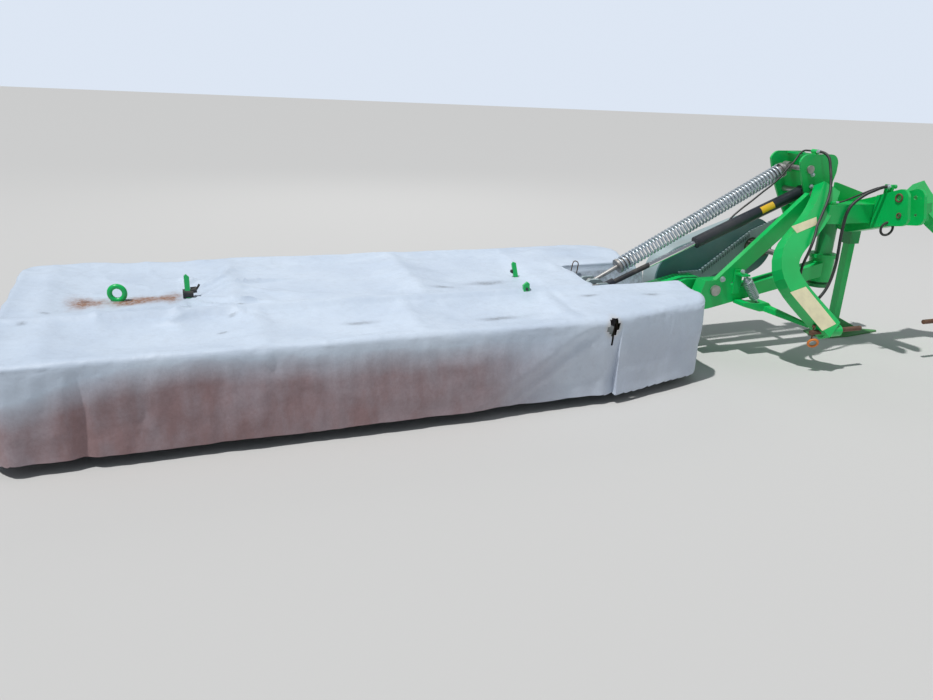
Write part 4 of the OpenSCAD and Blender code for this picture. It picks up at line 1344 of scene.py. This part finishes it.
trimSettings = {
    "ring": {"centre": (470, 739, 524), "radius": 33, "thick": 12},
    "tab": (2505, 780),
    "handle": (770, 725),
    "lug": (2420, 455),
    "flap": (460, 500, 480, 501),  # the outer lug's ends, foot and top
}


# Lifting eye, tab, guard handle and hinge lugs that stand on the cover
def makeCoverTrim(settings):
    ring = settings["ring"]
    x, y = settings["handle"]
    post = [(x + dx, y + 2, z) for dx, z in ((-4, 488), (20, 488), (20, 590), (6, 604), (-4, 596))]
    handle = [
        plate(post, 9, greenPaint),
        rod((x + 22, y + 6, 522), (x + 50, y + 6, 524), 15, dullRubber, 18),
        rod((x + 48, y + 6, 524), (x + 64, y + 12, 548), 5, dullRubber, 12),
        rod((x - 14, y + 6, 507), (x + 34, y + 6, 507), 22, dullRubber, 20, 20),
    ]
    tabX, tabY = settings["tab"]
    tab = [
        plate(((tabX, tabY, 490), (tabX + 26, tabY, 490), (tabX + 12, tabY + 10, 568),
               (tabX - 4, tabY + 10, 574), (tabX - 12, tabY + 10, 562)), 11, greenPaint),
        rod((tabX - 6, tabY - 6, 520), (tabX - 6, tabY + 12, 520), 10, dullRubber, 18),
        rod((tabX + 14, tabY - 5, 514), (tabX + 14, tabY + 2, 514), 6, zincSteel, 6),
    ]
    fittings = gather("cover_handles", handle + tab, "mower")
    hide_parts("cover_fittings")
    lugX, lugY = settings["lug"]
    block = [(lugX + dx, lugY, z) for dx, z in ((0, 478), (30, 478), (28, 538), (16, 548), (-8, 530))]
    # the lug's slot is a black plate: painted shade inside the opening
    slot = [(lugX + dx, lugY - 14.4, z) for dx, z in ((6, 504), (22, 500), (20, 516), (8, 520))]
    left, right, low, high = settings["flap"]
    flap = [(left, lugY, low), (right, lugY, low), (right, lugY, high), (left, lugY, high)]
    lug = [
        plate(block, 14, greenPaint, (0, -1, 0)),
        plate(slot, 0.8, slotShadeBlack, (0, -1, 0)),
        plate(flap, 6, greyPaint, (0, -1, 0)),
    ]
    lugs = gather("hinge_lugs", lug, "front_guard")
    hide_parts("guard_lugs")
    eye = ringAt(ring["centre"], (0.15, 1, 0), ring["radius"], ring["thick"], greenPaint)
    gather("lifting_eye", [eye], "mower")


makeCoverTrim(trimSettings)

rowSettings = {
    "ends": ((3812, 459), (4142, 686)),
    "face": 805.4,
    "count": 27,
    "outline": ((-2.2, -26), (2.2, -26), (2.2, -4), (-2.2, -4)),
}


# Row of black plates along the upper edge of the pale arm behind the lift cylinder: painted shade inside its
# vent slots
def makeSlotRow(settings):
    start, end = (Vector(point) for point in settings["ends"])
    pieces = []
    count = settings["count"]
    for k in range(count):
        spot = start.lerp(end, (k + 0.5) / count)
        corners = [(spot.x + dx, settings["face"], spot.y + dz) for dx, dz in settings["outline"]]
        pieces.append(plate(corners, 0.8, slotShadeBlack, (0, -1, 0)))
    gather("slot_row", pieces, "swing_frame")


makeSlotRow(rowSettings)

boltSettings = {
    "tower": ((4316, 1075), (4324, 1005), (4335, 957)),
    "towerFace": 561,
    "brace": (3748, 527.5, 474),
    "hook": ((2906, 846, 478), (2909, 842, 512), (2914, 840, 541), (2920, 840, 548), (2936, 840, 546),
             (2946, 840, 538), (2947, 842, 508), (2946, 846, 474)),
}


# Bolts of the tower and the brace, and the wire hook that rises from the cover's slot
def makeBolts(settings):
    pieces = []
    for x, z in settings["tower"]:
        pieces += bolt((x, settings["towerFace"], z), (0, -1, 0), 12, zincSteel)
    pieces += bolt(settings["brace"], (0, -1, 0), 15, zincSteel)
    gather("tower_bolts", pieces, "swing_frame")
    gather("cover_hook", [pipe(settings["hook"], 3, rustySteel)], "mower")


makeBolts(boltSettings)

linchSettings = {
    "depth": 120,
    "pins": ((4096, 0.5), (5314, -0.4)),  # place of each, and its ring's tilt
    "pin": (204, 281, 5),  # foot, top and radius
    "head": (276, 290, 10),
    "ring": (26, 7),
}


# Linch pins with their rings at the outer end of each lower link pin
def makeLinchPins(settings):
    y = settings["depth"]
    radius, thick = settings["ring"]
    pieces = []
    for x, tilt in settings["pins"]:
        for (low, high, width), sides in ((settings["pin"], 14), (settings["head"], 16)):
            pieces.append(rod((x, y, low), (x, y, high), width, rustySteel, sides))
        pieces.append(ringAt((x + 12, y - 4, 182), (tilt, 1, 0.5), radius, thick, orangeRing))
    gather("linch_pins", pieces, "headstock")


makeLinchPins(linchSettings)

rimSettings = {
    "faces": ((4628.5, -1), (4781.5, 1)),  # the outer face of each cheek, and the way it looks
    "holes": ((205, 985, 21, 5), (182, 888, 13, 3.5)),  # depth, height, radius and thickness
}


# Rusty rims of the top link's holes
def makeRustyRims(settings):
    pieces = []
    for x, direction in settings["faces"]:
        for y, z, radius, thick in settings["holes"]:
            pieces.append(ringAt((x, y, z), (direction, 0, 0), radius, thick, rustySteel))
    gather("hole_rims", pieces, "headstock")


makeRustyRims(rimSettings)

hangingSettings = {
    "ring": ((4640, 250, 800), (0.2, 1, 0.1), 38, 7),  # centre, direction, radius and thickness
    "link": ((4640, 250, 858), (1, 0.2, 0), 20, 4),
}


# Ring that hangs on a link under the arm
def makeHangingRing(settings):
    pieces = [ringAt(*settings["ring"], dullRubber), ringAt(*settings["link"], rustySteel)]
    gather("hanging_ring", pieces, "headstock")


makeHangingRing(hangingSettings)
print("small pieces made")

# Floor and light
stageSettings = {
    "floor": 300,
    "colour": (0.62, 0.61, 0.59),
    "sun": 4.6,
    "sunFrom": (-0.42, -0.12, 1),
    "sunWidth": 1.5,  # degrees
    "lights": (  # name, place, power and size
        ("fillLight", (6.5, -3.5, 4.5), 60, 4.0),
        ("rearLight", (0.5, 6.5, 5.0), 90, 4.0),
    ),
    "skyColour": (0.80, 0.88, 1.0),
    "sky": 0.45,
    "skySeen": 1.1,  # added where the camera looks at it
    "exposure": -0.78,
}


# A light at a spot, turned to shine from a direction
def addLight(kind, name, spot, power, source):
    bpy.ops.object.light_add(type=kind, location=spot)
    light = bpy.context.object
    light.name = name
    light.data.energy = power
    light.rotation_mode = "QUATERNION"
    light.rotation_quaternion = Vector(source).to_track_quat("Z", "Y")
    return light.data


def makeStage(settings):
    bpy.ops.mesh.primitive_plane_add(size=settings["floor"], location=(0, 0, -0.001))
    floor = bpy.context.object
    floor.name = "floor"
    material, tree, shader = newMaterial("studioFloor")
    shader.inputs["Base Color"].default_value = (*settings["colour"], 1)
    shader.inputs["Roughness"].default_value = 0.9
    floor.data.materials.append(material)
    scene = bpy.context.scene
    world = scene.world or bpy.data.worlds.new("studio")
    scene.world = world
    world.use_nodes = True
    sky = world.node_tree
    background = sky.nodes["Background"]
    background.inputs[0].default_value = (*settings["skyColour"], 1)
    # the sky lights the machine softly, and shows pale behind it
    seen = addNode(sky, "LightPath").outputs["Is Camera Ray"]
    sky.links.new(plus(sky, times(sky, seen, settings["skySeen"]), settings["sky"]), background.inputs[1])
    view = scene.view_settings
    view.view_transform = "Standard"
    view.exposure = settings["exposure"]
    sun = addLight("SUN", "sunLight", (0, 0, 5), settings["sun"], settings["sunFrom"])
    sun.angle = math.radians(settings["sunWidth"])
    for name, spot, power, size in settings["lights"]:
        addLight("AREA", name, spot, power, spot).size = size


makeStage(stageSettings)
print("stage set")
